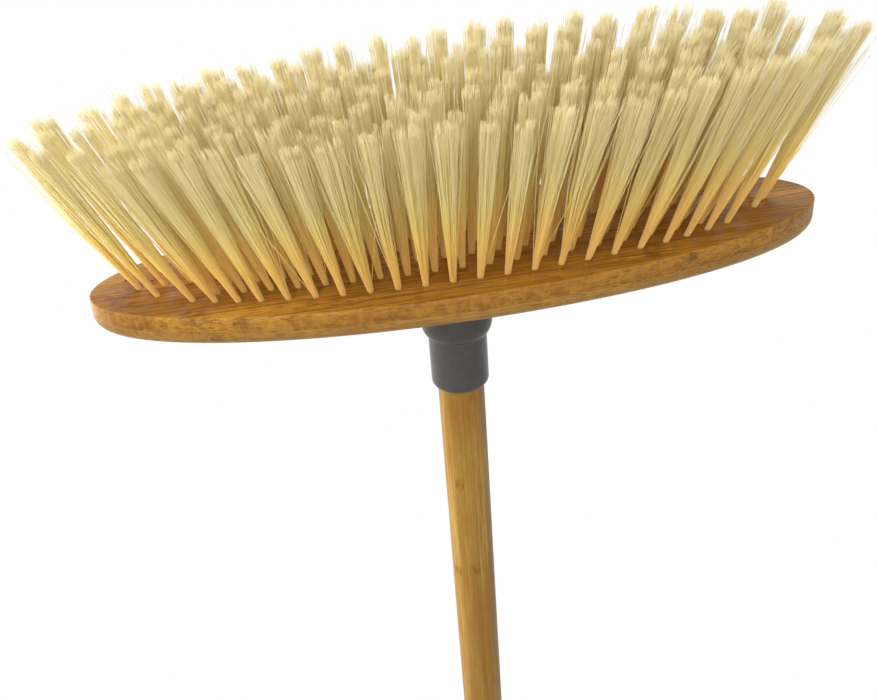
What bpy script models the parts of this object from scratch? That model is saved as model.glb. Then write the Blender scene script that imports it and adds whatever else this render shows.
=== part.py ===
"""Bamboo broom: an oval two-ply head with seven rows of flared tufts, a screw-down grey collar and
a round bamboo handle with a hanging cap.

The broom stands on its bristle tips. +Z runs up the handle, X runs along the head, and the origin
lies on the floor under the handle's axis. All sizes are in metres.
"""

import math

import bmesh
import bpy
import numpy as np

# Clearances
SEAT_GAP = 0.0003
RUNNING_GAP = 0.0003
THREAD_GAP = 0.0003
CUT_OVERRUN = 0.002

# Handle
HANDLE_DIAMETER = 0.024
HANDLE_LENGTH = 1.2
HANDLE_END_CHAMFER = 0.001
SPIGOT_DIAMETER = 0.016
SPIGOT_LENGTH = 0.0079

# Head: two oval plies glued face to face
HEAD_LENGTH = 0.35
HEAD_WIDTH = 0.105
BRISTLE_PLY_THICKNESS = 0.0076
HANDLE_PLY_THICKNESS = 0.0076
FACE_EDGE_ROUND = 0.0012
BACK_EDGE_ROUND = 0.0064
OVAL_SEGMENTS = 64
EDGE_STEPS = 3

# Tufts: rows that follow the oval, drawn closer together towards its ends
BRISTLE_REACH = 0.084
ROW_COUNT = 7
ROW_END_MARGIN = 0.028
ROW_SIDE_MARGIN = 0.0157
OUTER_ROW_SETBACK = 0.004
CENTRE_ROW_OVERRUN = 0.0038
NEAREST_ROWS = 0.0072
TUFT_PITCH = 0.01255
OUTER_ROW_PITCH = 0.0123
TUFT_DIAMETER = 0.0044
TUFT_TIP_DIAMETER = 0.0092
TUFT_EDGE = 0.0005
TIP_SPREAD_LENGTHWISE = 0.039
TIP_SPREAD_SIDEWAYS = 0.0221
STEADY_LEAN_SETBACK = 0.012
TIP_TRIM = 0.0005
TIP_RAGGEDNESS = 0.0016
STRANDS_PER_TUFT = 3
STRAND_SIDES = 3
STRAND_SHARE = 0.43
STRAND_EMBED = 0.0012
STRIP_DEPTH = 0.003
STRIP_WIDTH = 0.0084
STRIP_LAND = 0.0012
STATION_ANGLE = math.radians(8)
TUFT_SEED = 11

# Collar: a cup screwed to the head, and a hollow nut that screws into the cup
SOCKET_HEIGHT = 0.03235
SOCKET_WALL = 0.003
SOCKET_FLOOR = 0.003
SOCKET_ROUND_WIDTH = 0.0021
SOCKET_ROUND_HEIGHT = 0.0056
KEY_DEPTH = 0.0072
KEY_SIDES = 6
NUT_SHOWN_LENGTH = 0.03035
NUT_WALL = 0.00145
NUT_LIP_ROUND = 0.0022
THREAD_DEPTH = 0.00095
THREAD_PITCH = 0.004
THREAD_CREST_WIDTH = 0.0012
THREAD_FLANK_WIDTH = 0.0005
THREAD_ROOTING = 0.0004
THREAD_LEAD = 0.0008
ROUND_SEGMENTS = 32

# End bush: it keys the handle in the cup and carries the flange that the nut presses on
BUSH_WALL = 0.0017
BUSH_FLOOR = 0.0018
BUSH_FLANGE_THICKNESS = 0.003
BUSH_FLANGE_OVERHANG = 0.0016

# Wood screws
SOCKET_SCREW_COUNT = 3
SOCKET_SCREW_CIRCLE = 0.012
SOCKET_SCREW_LENGTH = 0.014
BUSH_SCREW_LENGTH = 0.024
SCREW_SHANK_DIAMETER = 0.0035
SCREW_HEAD_DIAMETER = 0.0064
SCREW_HEAD_EDGE = 0.0003
SCREW_TIP_LENGTH = 0.003
SCREW_DRIVE_LENGTH = 0.0036
SCREW_DRIVE_WIDTH = 0.0008
SCREW_DRIVE_DEPTH = 0.0011
SCREW_SEGMENTS = 16

# Hanging cap
CAP_WALL = 0.0012
CAP_SLEEVE_LENGTH = 0.028
CAP_TOP_THICKNESS = 0.003
CAP_EDGE_ROUND = 0.0025
EYE_DIAMETER = 0.02
EYE_HOLE_DIAMETER = 0.0096
EYE_THICKNESS = 0.006
EYE_RISE = 0.0085

# Radii that follow from the handle outwards
HANDLE_RADIUS = HANDLE_DIAMETER / 2
SPIGOT_RADIUS = SPIGOT_DIAMETER / 2
NUT_BORE_RADIUS = HANDLE_RADIUS + RUNNING_GAP
NUT_ROOT_RADIUS = NUT_BORE_RADIUS + NUT_WALL
NUT_RADIUS = NUT_ROOT_RADIUS + THREAD_DEPTH
CUP_CREST_RADIUS = NUT_ROOT_RADIUS + THREAD_GAP
CUP_BORE_RADIUS = NUT_RADIUS + THREAD_GAP
SOCKET_RADIUS = CUP_BORE_RADIUS + SOCKET_WALL
BUSH_KEY_RADIUS = SPIGOT_RADIUS + SEAT_GAP + BUSH_WALL
BUSH_FLANGE_RADIUS = HANDLE_RADIUS + BUSH_FLANGE_OVERHANG
SHANK_RADIUS = SCREW_SHANK_DIAMETER / 2

# Heights that follow from the floor upwards
FACE_Z = BRISTLE_REACH
SEAM_Z = FACE_Z + BRISTLE_PLY_THICKNESS
HANDLE_PLY_Z = SEAM_Z + SEAT_GAP
BACK_Z = HANDLE_PLY_Z + HANDLE_PLY_THICKNESS
SOCKET_Z = BACK_Z + SEAT_GAP
CUP_FLOOR_Z = SOCKET_Z + SOCKET_FLOOR
LEDGE_Z = CUP_FLOOR_Z + KEY_DEPTH
SOCKET_TOP_Z = SOCKET_Z + SOCKET_HEIGHT
FLANGE_Z = LEDGE_Z + SEAT_GAP
FLANGE_TOP_Z = FLANGE_Z + BUSH_FLANGE_THICKNESS
SHOULDER_Z = FLANGE_TOP_Z + SEAT_GAP
SPIGOT_Z = SHOULDER_Z - SPIGOT_LENGTH
BUSH_Z = SPIGOT_Z - SEAT_GAP - BUSH_FLOOR
NUT_TOP_Z = SOCKET_TOP_Z + NUT_SHOWN_LENGTH
HANDLE_TOP_Z = SPIGOT_Z + HANDLE_LENGTH
CAP_CEILING_Z = HANDLE_TOP_Z + SEAT_GAP
CAP_TOP_Z = CAP_CEILING_Z + CAP_TOP_THICKNESS

# Row layout
OUTERMOST_ROW = (ROW_COUNT - 1) // 2
ROW_HALF_LENGTH = HEAD_LENGTH / 2 - ROW_END_MARGIN
ROW_HALF_DEPTH = HEAD_WIDTH / 2 - ROW_SIDE_MARGIN
ROW_PITCH = ROW_HALF_DEPTH / OUTERMOST_ROW


def clear_scene() -> None:
    """Remove every object that the file holds."""
    for item in list(bpy.data.objects):
        bpy.data.objects.remove(item, do_unlink=True)


def make_material(name: str, color: tuple, roughness: float, metallic: float = 0.0):
    """Return a plain Principled material.

    Args:
        name: The material's name.
        color: Linear red, green and blue.
        roughness: Principled roughness.
        metallic: Principled metallic value.
    """
    material = bpy.data.materials.new(name)
    material.use_nodes = True
    shader = material.node_tree.nodes["Principled BSDF"]
    shader.inputs["Base Color"].default_value = (*color, 1.0)
    shader.inputs["Roughness"].default_value = roughness
    shader.inputs["Metallic"].default_value = metallic
    material.diffuse_color = (*color, 1.0)
    return material


def add_object(name: str, bm, material=None, sharp_angle: float = math.radians(35)):
    """Turn a bmesh into a smooth-shaded object in the scene and return it."""
    bmesh.ops.recalc_face_normals(bm, faces=bm.faces)
    mesh = bpy.data.meshes.new(name)
    bm.to_mesh(mesh)
    bm.free()
    mesh.shade_smooth()
    mesh.set_sharp_from_angle(angle=sharp_angle)
    if material is not None:
        mesh.materials.append(material)
    result = bpy.data.objects.new(name, mesh)
    bpy.context.scene.collection.objects.link(result)
    return result


def add_empty(name: str, height: float):
    """Return an empty on the handle's axis at the given height."""
    empty = bpy.data.objects.new(name, None)
    empty.location = (0.0, 0.0, height)
    bpy.context.scene.collection.objects.link(empty)
    return empty


def attach(children: list, parent) -> None:
    """Parent objects to an empty and keep them where they are."""
    bpy.context.view_layer.update()
    for child in children:
        child.parent = parent
        child.matrix_parent_inverse = parent.matrix_world.inverted()


def use_tool(target, tool, operation: str) -> None:
    """Add a Boolean to the target and mark its tool as a guide."""
    modifier = target.modifiers.new(f"{operation.lower()} {tool.name}", "BOOLEAN")
    modifier.operation = operation
    modifier.solver = "EXACT"
    modifier.object = tool
    tool.hide_render = True
    tool.display_type = "WIRE"


def arc(centre: tuple, radii: tuple, start: float, end: float, steps: int) -> list:
    """Return the points of an elliptical arc between two angles in degrees."""
    angles = [math.radians(start + (end - start) * step / steps) for step in range(steps + 1)]
    return [(centre[0] + radii[0] * math.cos(angle), centre[1] + radii[1] * math.sin(angle))
            for angle in angles]


def bridge(bm, low: list, high: list) -> None:
    """Join two rings of vertices, either of which may be a single pole."""
    count = max(len(low), len(high))
    for index in range(count):
        after = (index + 1) % count
        if len(low) == 1:
            bm.faces.new((low[0], high[after], high[index]))
        elif len(high) == 1:
            bm.faces.new((low[index], low[after], high[0]))
        else:
            bm.faces.new((low[index], low[after], high[after], high[index]))


def turned(profile: list, segments: int, closed: bool = False, centre: tuple = (0.0, 0.0)):
    """Return a bmesh turned about a vertical axis.

    Args:
        profile: Radius and height pairs; a radius of zero makes a pole.
        segments: Number of sides round the axis.
        closed: Whether the last pair joins the first, as in a tube.
        centre: The axis's X and Y.
    """
    bm = bmesh.new()
    rings = []
    for radius, height in profile:
        sides = segments if radius > 0 else 1
        turn = [2 * math.pi * side / segments for side in range(sides)]
        rings.append([bm.verts.new((centre[0] + radius * math.cos(angle),
                                    centre[1] + radius * math.sin(angle), height))
                      for angle in turn])
    followers = rings[1:] + (rings[:1] if closed else [])
    for low, high in zip(rings, followers):
        bridge(bm, low, high)
    return bm


def join(parts: list):
    """Return one bmesh that holds every part, each still its own body."""
    whole = bmesh.new()
    for part in parts:
        mesh = bpy.data.meshes.new("joined part")
        part.to_mesh(mesh)
        part.free()
        whole.from_mesh(mesh)
        bpy.data.meshes.remove(mesh)
    return whole


def prism(low: list, high: list, low_z: list, high_z: list):
    """Return a closed bmesh between two outlines with as many points."""
    bm = bmesh.new()
    bottom = [bm.verts.new((x, y, z)) for (x, y), z in zip(low, low_z)]
    top = [bm.verts.new((x, y, z)) for (x, y), z in zip(high, high_z)]
    bridge(bm, bottom, top)
    bm.faces.new(list(reversed(bottom)))
    bm.faces.new(top)
    return bm


def box(centre: tuple, size: tuple):
    """Return a box as a bmesh."""
    half = [extent / 2 for extent in size]
    corners = [(centre[0] + sx * half[0], centre[1] + sy * half[1])
               for sx, sy in ((-1, -1), (1, -1), (1, 1), (-1, 1))]
    return prism(corners, corners, [centre[2] - half[2]] * len(corners),
                 [centre[2] + half[2]] * len(corners))


def polygon(sides: int, radius: float, turn: float, centre: tuple = (0.0, 0.0)) -> list:
    """Return the corners of a regular polygon, the first at the given angle."""
    angles = [turn + 2 * math.pi * side / sides for side in range(sides)]
    return [(centre[0] + radius * math.cos(angle), centre[1] + radius * math.sin(angle))
            for angle in angles]


def helical_ridge(start_z: float, turns: float, crest_radius: float, base_radius: float):
    """Return a trapezoid swept up a right-hand helix, closed at both ends.

    Args:
        start_z: Height of the section's middle at its lower end.
        turns: Number of turns, whole or not.
        crest_radius: Radius of the narrow side.
        base_radius: Radius of the wide side, sunk in the wall that carries the ridge.
    """
    half_crest = THREAD_CREST_WIDTH / 2
    rooted_share = abs(base_radius - crest_radius) / THREAD_DEPTH
    half_base = half_crest + THREAD_FLANK_WIDTH * rooted_share
    section = [(base_radius, -half_base), (crest_radius, -half_crest),
               (crest_radius, half_crest), (base_radius, half_base)]
    bm = bmesh.new()
    steps = math.ceil(turns * ROUND_SEGMENTS)
    start_angle = math.pi / ROUND_SEGMENTS
    rings = []
    for step in range(steps + 1):
        share = step / steps
        angle = start_angle + 2 * math.pi * turns * share
        rise = start_z + THREAD_PITCH * turns * share
        rings.append([bm.verts.new((radius * math.cos(angle), radius * math.sin(angle), rise + lift))
                      for radius, lift in section])
    for low, high in zip(rings, rings[1:]):
        bridge(bm, low, high)
    bm.faces.new(rings[0])
    bm.faces.new(list(reversed(rings[-1])))
    return bm


def oval_solid(levels: list):
    """Return the head's oval as a solid with rounded edges.

    Args:
        levels: Inset and height pairs from the lowest ring to the highest.
    """
    bm = bmesh.new()
    rings = []
    for inset, height in levels:
        turn = [2 * math.pi * side / OVAL_SEGMENTS for side in range(OVAL_SEGMENTS)]
        rings.append([bm.verts.new(((HEAD_LENGTH / 2 - inset) * math.cos(angle),
                                    (HEAD_WIDTH / 2 - inset) * math.sin(angle), height))
                      for angle in turn])
    for low, high in zip(rings, rings[1:]):
        bridge(bm, low, high)
    bm.faces.new(list(reversed(rings[0])))
    bm.faces.new(rings[-1])
    return bm


class TuftRow:
    """One row of tufts: its line on the head, its strip of backing and its tuft places."""

    def __init__(self, order: int):
        """Set out the row.

        Args:
            order: Number of rows away from the head's centre line, negative on the -Y side.
        """
        self.order = order
        self.end_x = self.find_end()
        self.arc_x, self.arc_length = self.measure()

    def find_end(self) -> float:
        """Return the X of the row's last tuft."""
        if abs(self.order) == OUTERMOST_ROW:
            return ROW_HALF_LENGTH - OUTER_ROW_SETBACK
        if self.order == 0:
            return ROW_HALF_LENGTH + CENTRE_ROW_OVERRUN
        closeness_share = min(NEAREST_ROWS / ROW_PITCH, 1.0)
        return ROW_HALF_LENGTH * math.sqrt(1 - closeness_share ** 2)

    @staticmethod
    def narrowing(x):
        """Return the oval's width at X as a share of its width in the middle."""
        return np.sqrt(np.maximum(1 - (x / ROW_HALF_LENGTH) ** 2, 0.0))

    def line_y(self, x):
        """Return the row's Y at X."""
        return self.order * ROW_PITCH * self.narrowing(x)

    def measure(self) -> tuple:
        """Return X samples along the row and the length of the row up to each."""
        x = self.end_x * np.sin(np.linspace(-math.pi / 2, math.pi / 2, 400))
        steps = np.hypot(np.diff(x), np.diff(self.line_y(x)))
        return x, np.concatenate(([0.0], np.cumsum(steps)))

    def tuft_centres(self) -> list:
        """Return the tufts' X and Y, a pitch apart along the row and staggered by rows."""
        total = self.arc_length[-1]
        count = int(total // TUFT_PITCH) + 1
        if count % 2 == self.order % 2:
            count -= 1
        outermost = abs(self.order) == OUTERMOST_ROW
        pitch = OUTER_ROW_PITCH if outermost else TUFT_PITCH
        along = (np.arange(count) - (count - 1) / 2) * pitch + total / 2
        if outermost:
            along[[0, -1]] = 0.0, total
        x = np.interp(along, self.arc_length, self.arc_x)
        return list(zip(x.tolist(), self.line_y(x).tolist()))

    def strip_edges(self, growth: float) -> tuple:
        """Return the two edges of the row's strip of backing, grown on all sides."""
        margin = TUFT_DIAMETER / 2 + TUFT_EDGE + growth
        end_angle = math.asin(min(self.end_x / ROW_HALF_LENGTH, 1.0))
        stations = 2 * math.ceil(end_angle / STATION_ANGLE) + 1
        x = max(self.end_x, ROW_HALF_LENGTH) * np.sin(np.linspace(-end_angle, end_angle, stations))
        y = self.line_y(x)
        step_x = np.gradient(x)
        step_y = np.gradient(y)
        length = np.hypot(step_x, step_y)
        along_x = step_x / length
        along_y = step_y / length
        room = ROW_PITCH * self.narrowing(x) * along_x - STRIP_LAND
        half = np.clip(room, 2 * (TUFT_DIAMETER / 2 + TUFT_EDGE), STRIP_WIDTH) / 2 + growth
        push = np.zeros(stations)
        push[0] = -margin
        push[-1] = margin
        x = x + push * along_x
        y = y + push * along_y
        left = list(zip((x - half * along_y).tolist(), (y + half * along_x).tolist()))
        right = list(zip((x + half * along_y).tolist(), (y - half * along_x).tolist()))
        return left, right

    def strip(self, growth: float, low_z: float, high_z: float):
        """Return the strip of backing, or the cutter for its groove, as a bmesh."""
        left, right = self.strip_edges(growth)
        bm = bmesh.new()
        sections = [[bm.verts.new((*a, low_z)), bm.verts.new((*b, low_z)),
                     bm.verts.new((*b, high_z)), bm.verts.new((*a, high_z))]
                    for a, b in zip(left, right)]
        for this, following in zip(sections, sections[1:]):
            bridge(bm, this, following)
        bm.faces.new(sections[0])
        bm.faces.new(list(reversed(sections[-1])))
        return bm

    def strands(self):
        """Return the row's strands, each a slim prism from the strip to its cut tip."""
        chance = np.random.default_rng(TUFT_SEED + self.order)
        return join([strand for centre in self.tuft_centres()
                     for strand in tuft(centre, chance)])


def tip_centre(centre: tuple) -> tuple:
    """Return where a tuft that starts at the given place meets the floor.

    The lean grows with the distance from the middle, and stays as it is near the head's two ends.
    """
    steady = ROW_HALF_LENGTH - STEADY_LEAN_SETBACK
    lengthwise = TIP_SPREAD_LENGTHWISE * max(-steady, min(centre[0], steady)) / ROW_HALF_LENGTH
    sideways = TIP_SPREAD_SIDEWAYS * centre[1] / ROW_HALF_DEPTH
    return centre[0] + lengthwise, centre[1] + sideways


def tuft(centre: tuple, chance) -> list:
    """Return one tuft's strands, which lean out and spread without touching.

    Args:
        centre: The tuft's X and Y on the bristle face.
        chance: A seeded random generator.
    """
    tip = tip_centre(centre)
    tip_z = max(0.0, chance.uniform(-TIP_TRIM - TIP_RAGGEDNESS, TIP_RAGGEDNESS))
    turn = chance.uniform(0.0, 2 * math.pi)
    embed_share = STRAND_EMBED / BRISTLE_REACH
    root = tuple(low - (high - low) * embed_share for low, high in zip(centre, tip))
    strands = []
    for index in range(STRANDS_PER_TUFT):
        angle = turn + 2 * math.pi * index / STRANDS_PER_TUFT
        outlines = []
        for middle, diameter in ((tip, TUFT_TIP_DIAMETER), (root, TUFT_DIAMETER)):
            size = diameter / 2 * STRAND_SHARE
            out = diameter / 2 - size
            place = (middle[0] + out * math.cos(angle), middle[1] + out * math.sin(angle))
            outlines.append(polygon(STRAND_SIDES, size, angle, place))
        strands.append(prism(outlines[0], outlines[1], [tip_z] * STRAND_SIDES,
                             [FACE_Z + STRAND_EMBED] * STRAND_SIDES))
    return strands


def screw_profile(base_z: float, length: float, direction: int, growth: float = 0.0) -> list:
    """Return the profile of a countersunk screw, or of its clearance hole.

    Args:
        base_z: Height of the head's outer face.
        length: Length from the head's face to the point.
        direction: 1 for a point above the head, -1 for one below.
        growth: Clearance added all round, which also lengthens both ends.
    """
    head = SCREW_HEAD_DIAMETER / 2 + growth
    shank = SHANK_RADIUS + growth
    cone = SCREW_HEAD_DIAMETER / 2 - SHANK_RADIUS
    heights = [(0.0, -growth), (head, -growth), (head, SCREW_HEAD_EDGE),
               (shank, SCREW_HEAD_EDGE + cone), (shank, length - SCREW_TIP_LENGTH + growth),
               (0.0, length + growth)]
    return [(radius, base_z + direction * height) for radius, height in heights]


def add_screw(name: str, centre: tuple, base_z: float, length: float, direction: int, steel):
    """Return a countersunk wood screw with a cross recess in its head."""
    body = turned(screw_profile(base_z, length, direction), SCREW_SEGMENTS, centre=centre)
    screw = add_object(name, body, steel)
    depth = SCREW_DRIVE_DEPTH + CUT_OVERRUN
    middle_z = base_z + direction * (SCREW_DRIVE_DEPTH - depth / 2)
    for label, size in (("a", (SCREW_DRIVE_LENGTH, SCREW_DRIVE_WIDTH, depth)),
                        ("b", (SCREW_DRIVE_WIDTH, SCREW_DRIVE_LENGTH, depth))):
        slot = add_object(f"{name} recess {label}", box((*centre, middle_z), size))
        use_tool(screw, slot, "DIFFERENCE")
    return screw


def socket_screw_centres() -> list:
    """Return the X and Y of the screws in the cup's floor."""
    return polygon(SOCKET_SCREW_COUNT, SOCKET_SCREW_CIRCLE / 2, math.pi / 2)


def socket_screw_holes(name: str):
    """Return a cutter for the clearance holes of all the socket's screws."""
    holes = [turned(screw_profile(CUP_FLOOR_Z, SOCKET_SCREW_LENGTH, -1, SEAT_GAP),
                    SCREW_SEGMENTS, centre=centre) for centre in socket_screw_centres()]
    return add_object(name, join(holes))


def build_plies(bamboo) -> list:
    """Return the two plies of the head, grooved for the strips and drilled for the screws."""
    face_round = [(FACE_EDGE_ROUND - inset, FACE_Z + FACE_EDGE_ROUND + drop)
                  for inset, drop in arc((0.0, 0.0), (FACE_EDGE_ROUND, FACE_EDGE_ROUND),
                                         -90, 0, EDGE_STEPS)]
    bristle_ply = add_object("bristle_ply", oval_solid(face_round + [(0.0, SEAM_Z)]), bamboo)
    back_round = [(BACK_EDGE_ROUND - inset, BACK_Z - BACK_EDGE_ROUND + rise)
                  for inset, rise in arc((0.0, 0.0), (BACK_EDGE_ROUND, BACK_EDGE_ROUND),
                                         0, 90, EDGE_STEPS)]
    handle_ply = add_object("handle_ply", oval_solid([(0.0, HANDLE_PLY_Z)] + back_round), bamboo)

    for number, order in enumerate(range(-OUTERMOST_ROW, OUTERMOST_ROW + 1), start=1):
        groove = TuftRow(order).strip(SEAT_GAP, FACE_Z - CUT_OVERRUN,
                                      FACE_Z + STRIP_DEPTH + SEAT_GAP)
        use_tool(bristle_ply, add_object(f"groove {number}", groove), "DIFFERENCE")
    for ply in (bristle_ply, handle_ply):
        use_tool(ply, socket_screw_holes(f"{ply.name} screw holes"), "DIFFERENCE")
    return [bristle_ply, handle_ply]


def build_rows(bristle) -> list:
    """Return the rows of tufts, each fused to its strip of backing."""
    rows = []
    for number, order in enumerate(range(-OUTERMOST_ROW, OUTERMOST_ROW + 1), start=1):
        row = TuftRow(order)
        strip = row.strip(0.0, FACE_Z, FACE_Z + STRIP_DEPTH)
        node = add_object(f"bristle_row_{number}", strip, bristle)
        strands = add_object(f"bristle_row_{number} strands", row.strands())
        use_tool(node, strands, "UNION")
        rows.append(node)
    return rows


def key_outline(growth: float) -> list:
    """Return the corners of the bush's key, or of the keyway when grown by a clearance."""
    corner_radius = (BUSH_KEY_RADIUS + growth) / math.cos(math.pi / KEY_SIDES)
    return polygon(KEY_SIDES, corner_radius, 0.0)


def thread_room() -> tuple:
    """Return the lowest height and the number of turns of the nut's thread."""
    half_base = THREAD_CREST_WIDTH / 2 + THREAD_FLANK_WIDTH
    low = SHOULDER_Z + THREAD_LEAD + half_base
    high = SOCKET_TOP_Z - THREAD_LEAD - half_base
    return low, (high - low) / THREAD_PITCH


def build_socket(plastic):
    """Return the cup that holds the handle's end, with its inner thread and its keyed floor."""
    rim_radius = SOCKET_RADIUS - SOCKET_ROUND_WIDTH
    shoulder = arc((rim_radius, SOCKET_TOP_Z - SOCKET_ROUND_HEIGHT),
                   (SOCKET_ROUND_WIDTH, SOCKET_ROUND_HEIGHT), 0, 90, EDGE_STEPS + 1)
    outer = [(0.0, SOCKET_Z), (SOCKET_RADIUS, SOCKET_Z)] + shoulder
    inner = [(CUP_BORE_RADIUS, SOCKET_TOP_Z), (CUP_BORE_RADIUS, LEDGE_Z), (0.0, LEDGE_Z)]
    socket = add_object("socket", turned(outer + inner, ROUND_SEGMENTS), plastic)

    outline = key_outline(SEAT_GAP)
    keyway = prism(outline, outline, [CUP_FLOOR_Z] * KEY_SIDES, [LEDGE_Z + CUT_OVERRUN] * KEY_SIDES)
    use_tool(socket, add_object("socket keyway", keyway), "DIFFERENCE")
    use_tool(socket, socket_screw_holes("socket screw holes"), "DIFFERENCE")

    low, turns = thread_room()
    ridge = helical_ridge(low + THREAD_PITCH / 2, turns - 1 / 2, CUP_CREST_RADIUS,
                          CUP_BORE_RADIUS + THREAD_ROOTING)
    use_tool(socket, add_object("socket thread", ridge), "UNION")
    return socket


def build_collar_nut(plastic):
    """Return the hollow nut: a threaded end in the cup and the sleeve that shows round the handle."""
    lip = arc((NUT_RADIUS - NUT_LIP_ROUND, NUT_TOP_Z - NUT_LIP_ROUND),
              (NUT_LIP_ROUND, NUT_LIP_ROUND), 0, 90, EDGE_STEPS + 1)
    sleeve_z = SOCKET_TOP_Z - THREAD_LEAD
    outer = [(NUT_ROOT_RADIUS, SHOULDER_Z), (NUT_ROOT_RADIUS, sleeve_z), (NUT_RADIUS, sleeve_z)]
    inner = [(NUT_BORE_RADIUS, NUT_TOP_Z), (NUT_BORE_RADIUS, SHOULDER_Z)]
    nut = add_object("collar_nut", turned(outer + lip + inner, ROUND_SEGMENTS, closed=True), plastic)

    low, turns = thread_room()
    ridge = helical_ridge(low, turns - 1 / 2, NUT_RADIUS, NUT_ROOT_RADIUS - THREAD_ROOTING)
    use_tool(nut, add_object("collar thread", ridge), "UNION")
    return nut


def build_end_bush(plastic):
    """Return the bush on the handle's end: a flange for the nut over a six-sided key."""
    hollow_radius = SPIGOT_RADIUS + SEAT_GAP
    flange = [(0.0, FLANGE_Z), (BUSH_FLANGE_RADIUS, FLANGE_Z), (BUSH_FLANGE_RADIUS, FLANGE_TOP_Z),
              (0.0, FLANGE_TOP_Z)]
    bush = add_object("handle_end_bush", turned(flange, ROUND_SEGMENTS), plastic)
    outline = key_outline(0.0)
    middle_z = FLANGE_Z + BUSH_FLANGE_THICKNESS / 2
    key = prism(outline, outline, [BUSH_Z] * KEY_SIDES, [middle_z] * KEY_SIDES)
    use_tool(bush, add_object("bush key", key), "UNION")
    hollow = [(0.0, SPIGOT_Z - SEAT_GAP), (hollow_radius, SPIGOT_Z - SEAT_GAP),
              (hollow_radius, FLANGE_TOP_Z + CUT_OVERRUN), (0.0, FLANGE_TOP_Z + CUT_OVERRUN)]
    use_tool(bush, add_object("bush hollow", turned(hollow, ROUND_SEGMENTS)), "DIFFERENCE")
    hole = turned(screw_profile(BUSH_Z, BUSH_SCREW_LENGTH, 1, SEAT_GAP), SCREW_SEGMENTS)
    use_tool(bush, add_object("bush screw hole", hole), "DIFFERENCE")
    return bush


def build_handle(bamboo):
    """Return the bamboo handle with the turned-down end that the bush fits."""
    hole = turned(screw_profile(BUSH_Z, BUSH_SCREW_LENGTH, 1, SEAT_GAP), SCREW_SEGMENTS)
    chamfer = HANDLE_END_CHAMFER
    profile = [(0.0, SPIGOT_Z), (SPIGOT_RADIUS, SPIGOT_Z), (SPIGOT_RADIUS, SHOULDER_Z),
               (HANDLE_RADIUS, SHOULDER_Z), (HANDLE_RADIUS, HANDLE_TOP_Z - chamfer),
               (HANDLE_RADIUS - chamfer, HANDLE_TOP_Z), (0.0, HANDLE_TOP_Z)]
    handle = add_object("handle", turned(profile, ROUND_SEGMENTS), bamboo)
    use_tool(handle, add_object("handle screw hole", hole), "DIFFERENCE")
    return handle


def build_hanging_cap(plastic):
    """Return the cap over the handle's top end, with its hanging eye."""
    bore = HANDLE_RADIUS + SEAT_GAP
    outside = bore + CAP_WALL
    mouth_z = HANDLE_TOP_Z - CAP_SLEEVE_LENGTH
    edge = arc((outside - CAP_EDGE_ROUND, CAP_TOP_Z - CAP_EDGE_ROUND),
               (CAP_EDGE_ROUND, CAP_EDGE_ROUND), 0, 90, EDGE_STEPS)
    profile = [(0.0, CAP_CEILING_Z), (bore, CAP_CEILING_Z), (bore, mouth_z), (outside, mouth_z)]
    cap = add_object("hanging_cap", turned(profile + edge + [(0.0, CAP_TOP_Z)], ROUND_SEGMENTS),
                     plastic)
    eye_z = CAP_TOP_Z + EYE_RISE
    for label, diameter, width, operation in (
            ("eye", EYE_DIAMETER, EYE_THICKNESS, "UNION"),
            ("eye hole", EYE_HOLE_DIAMETER, EYE_THICKNESS + 2 * CUT_OVERRUN, "DIFFERENCE")):
        bm = bmesh.new()
        bmesh.ops.create_cone(bm, cap_ends=True, segments=ROUND_SEGMENTS, radius1=diameter / 2,
                              radius2=diameter / 2, depth=width)
        tool = add_object(f"cap {label}", bm)
        tool.rotation_euler = (math.pi / 2, 0.0, 0.0)
        tool.location = (0.0, 0.0, eye_z)
        use_tool(cap, tool, operation)
    return cap


def main() -> None:
    """Build the broom."""
    clear_scene()
    head_bamboo = make_material("head bamboo", (0.42, 0.2, 0.055), 0.5)
    handle_bamboo = make_material("handle bamboo", (0.5, 0.27, 0.08), 0.45)
    bristle = make_material("cream bristle", (0.76, 0.6, 0.28), 0.6)
    plastic = make_material("grey plastic", (0.16, 0.15, 0.135), 0.45)
    steel = make_material("zinc steel", (0.55, 0.55, 0.56), 0.35, 1.0)

    plies = build_plies(head_bamboo)
    rows = build_rows(bristle)
    socket = build_socket(plastic)
    socket_screws = [add_screw(f"socket_screw_{number}", centre, CUP_FLOOR_Z, SOCKET_SCREW_LENGTH,
                               -1, steel)
                     for number, centre in enumerate(socket_screw_centres(), start=1)]
    nut = build_collar_nut(plastic)
    bush = build_end_bush(plastic)
    bush_screw = add_screw("bush_screw", (0.0, 0.0), BUSH_Z, BUSH_SCREW_LENGTH, 1, steel)
    handle = build_handle(handle_bamboo)
    cap = build_hanging_cap(plastic)

    attach(plies + rows + [socket] + socket_screws, add_empty("head frame", FACE_Z))
    attach([bush, bush_screw, handle, cap], add_empty("handle slide", SHOULDER_Z))
    attach([nut], add_empty("collar axis", SOCKET_TOP_Z))


main()
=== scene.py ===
"""Bamboo broom, dressed for its photograph.

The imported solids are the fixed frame. Every surface that shows is made again here at full
fineness: the two oval plies with their drilled tuft holes, seven rows of tufts with a hundred and
twenty split-tipped fibres each, the moulded collar with its running thread, the turned bamboo
handle and the cap with its hanging eye. The broom stands on its bristle tips and +Z runs up the
handle.
All sizes are in metres.
"""

import logging
import math
from dataclasses import dataclass, field
from enum import Enum

import bmesh
import bpy
import numpy as np
from bpy.types import Collection, ID, Material, Mesh, Node, NodeSocket, NodeTree, Object
from mathutils import Matrix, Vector
from mathutils.geometry import delaunay_2d_cdt


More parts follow.
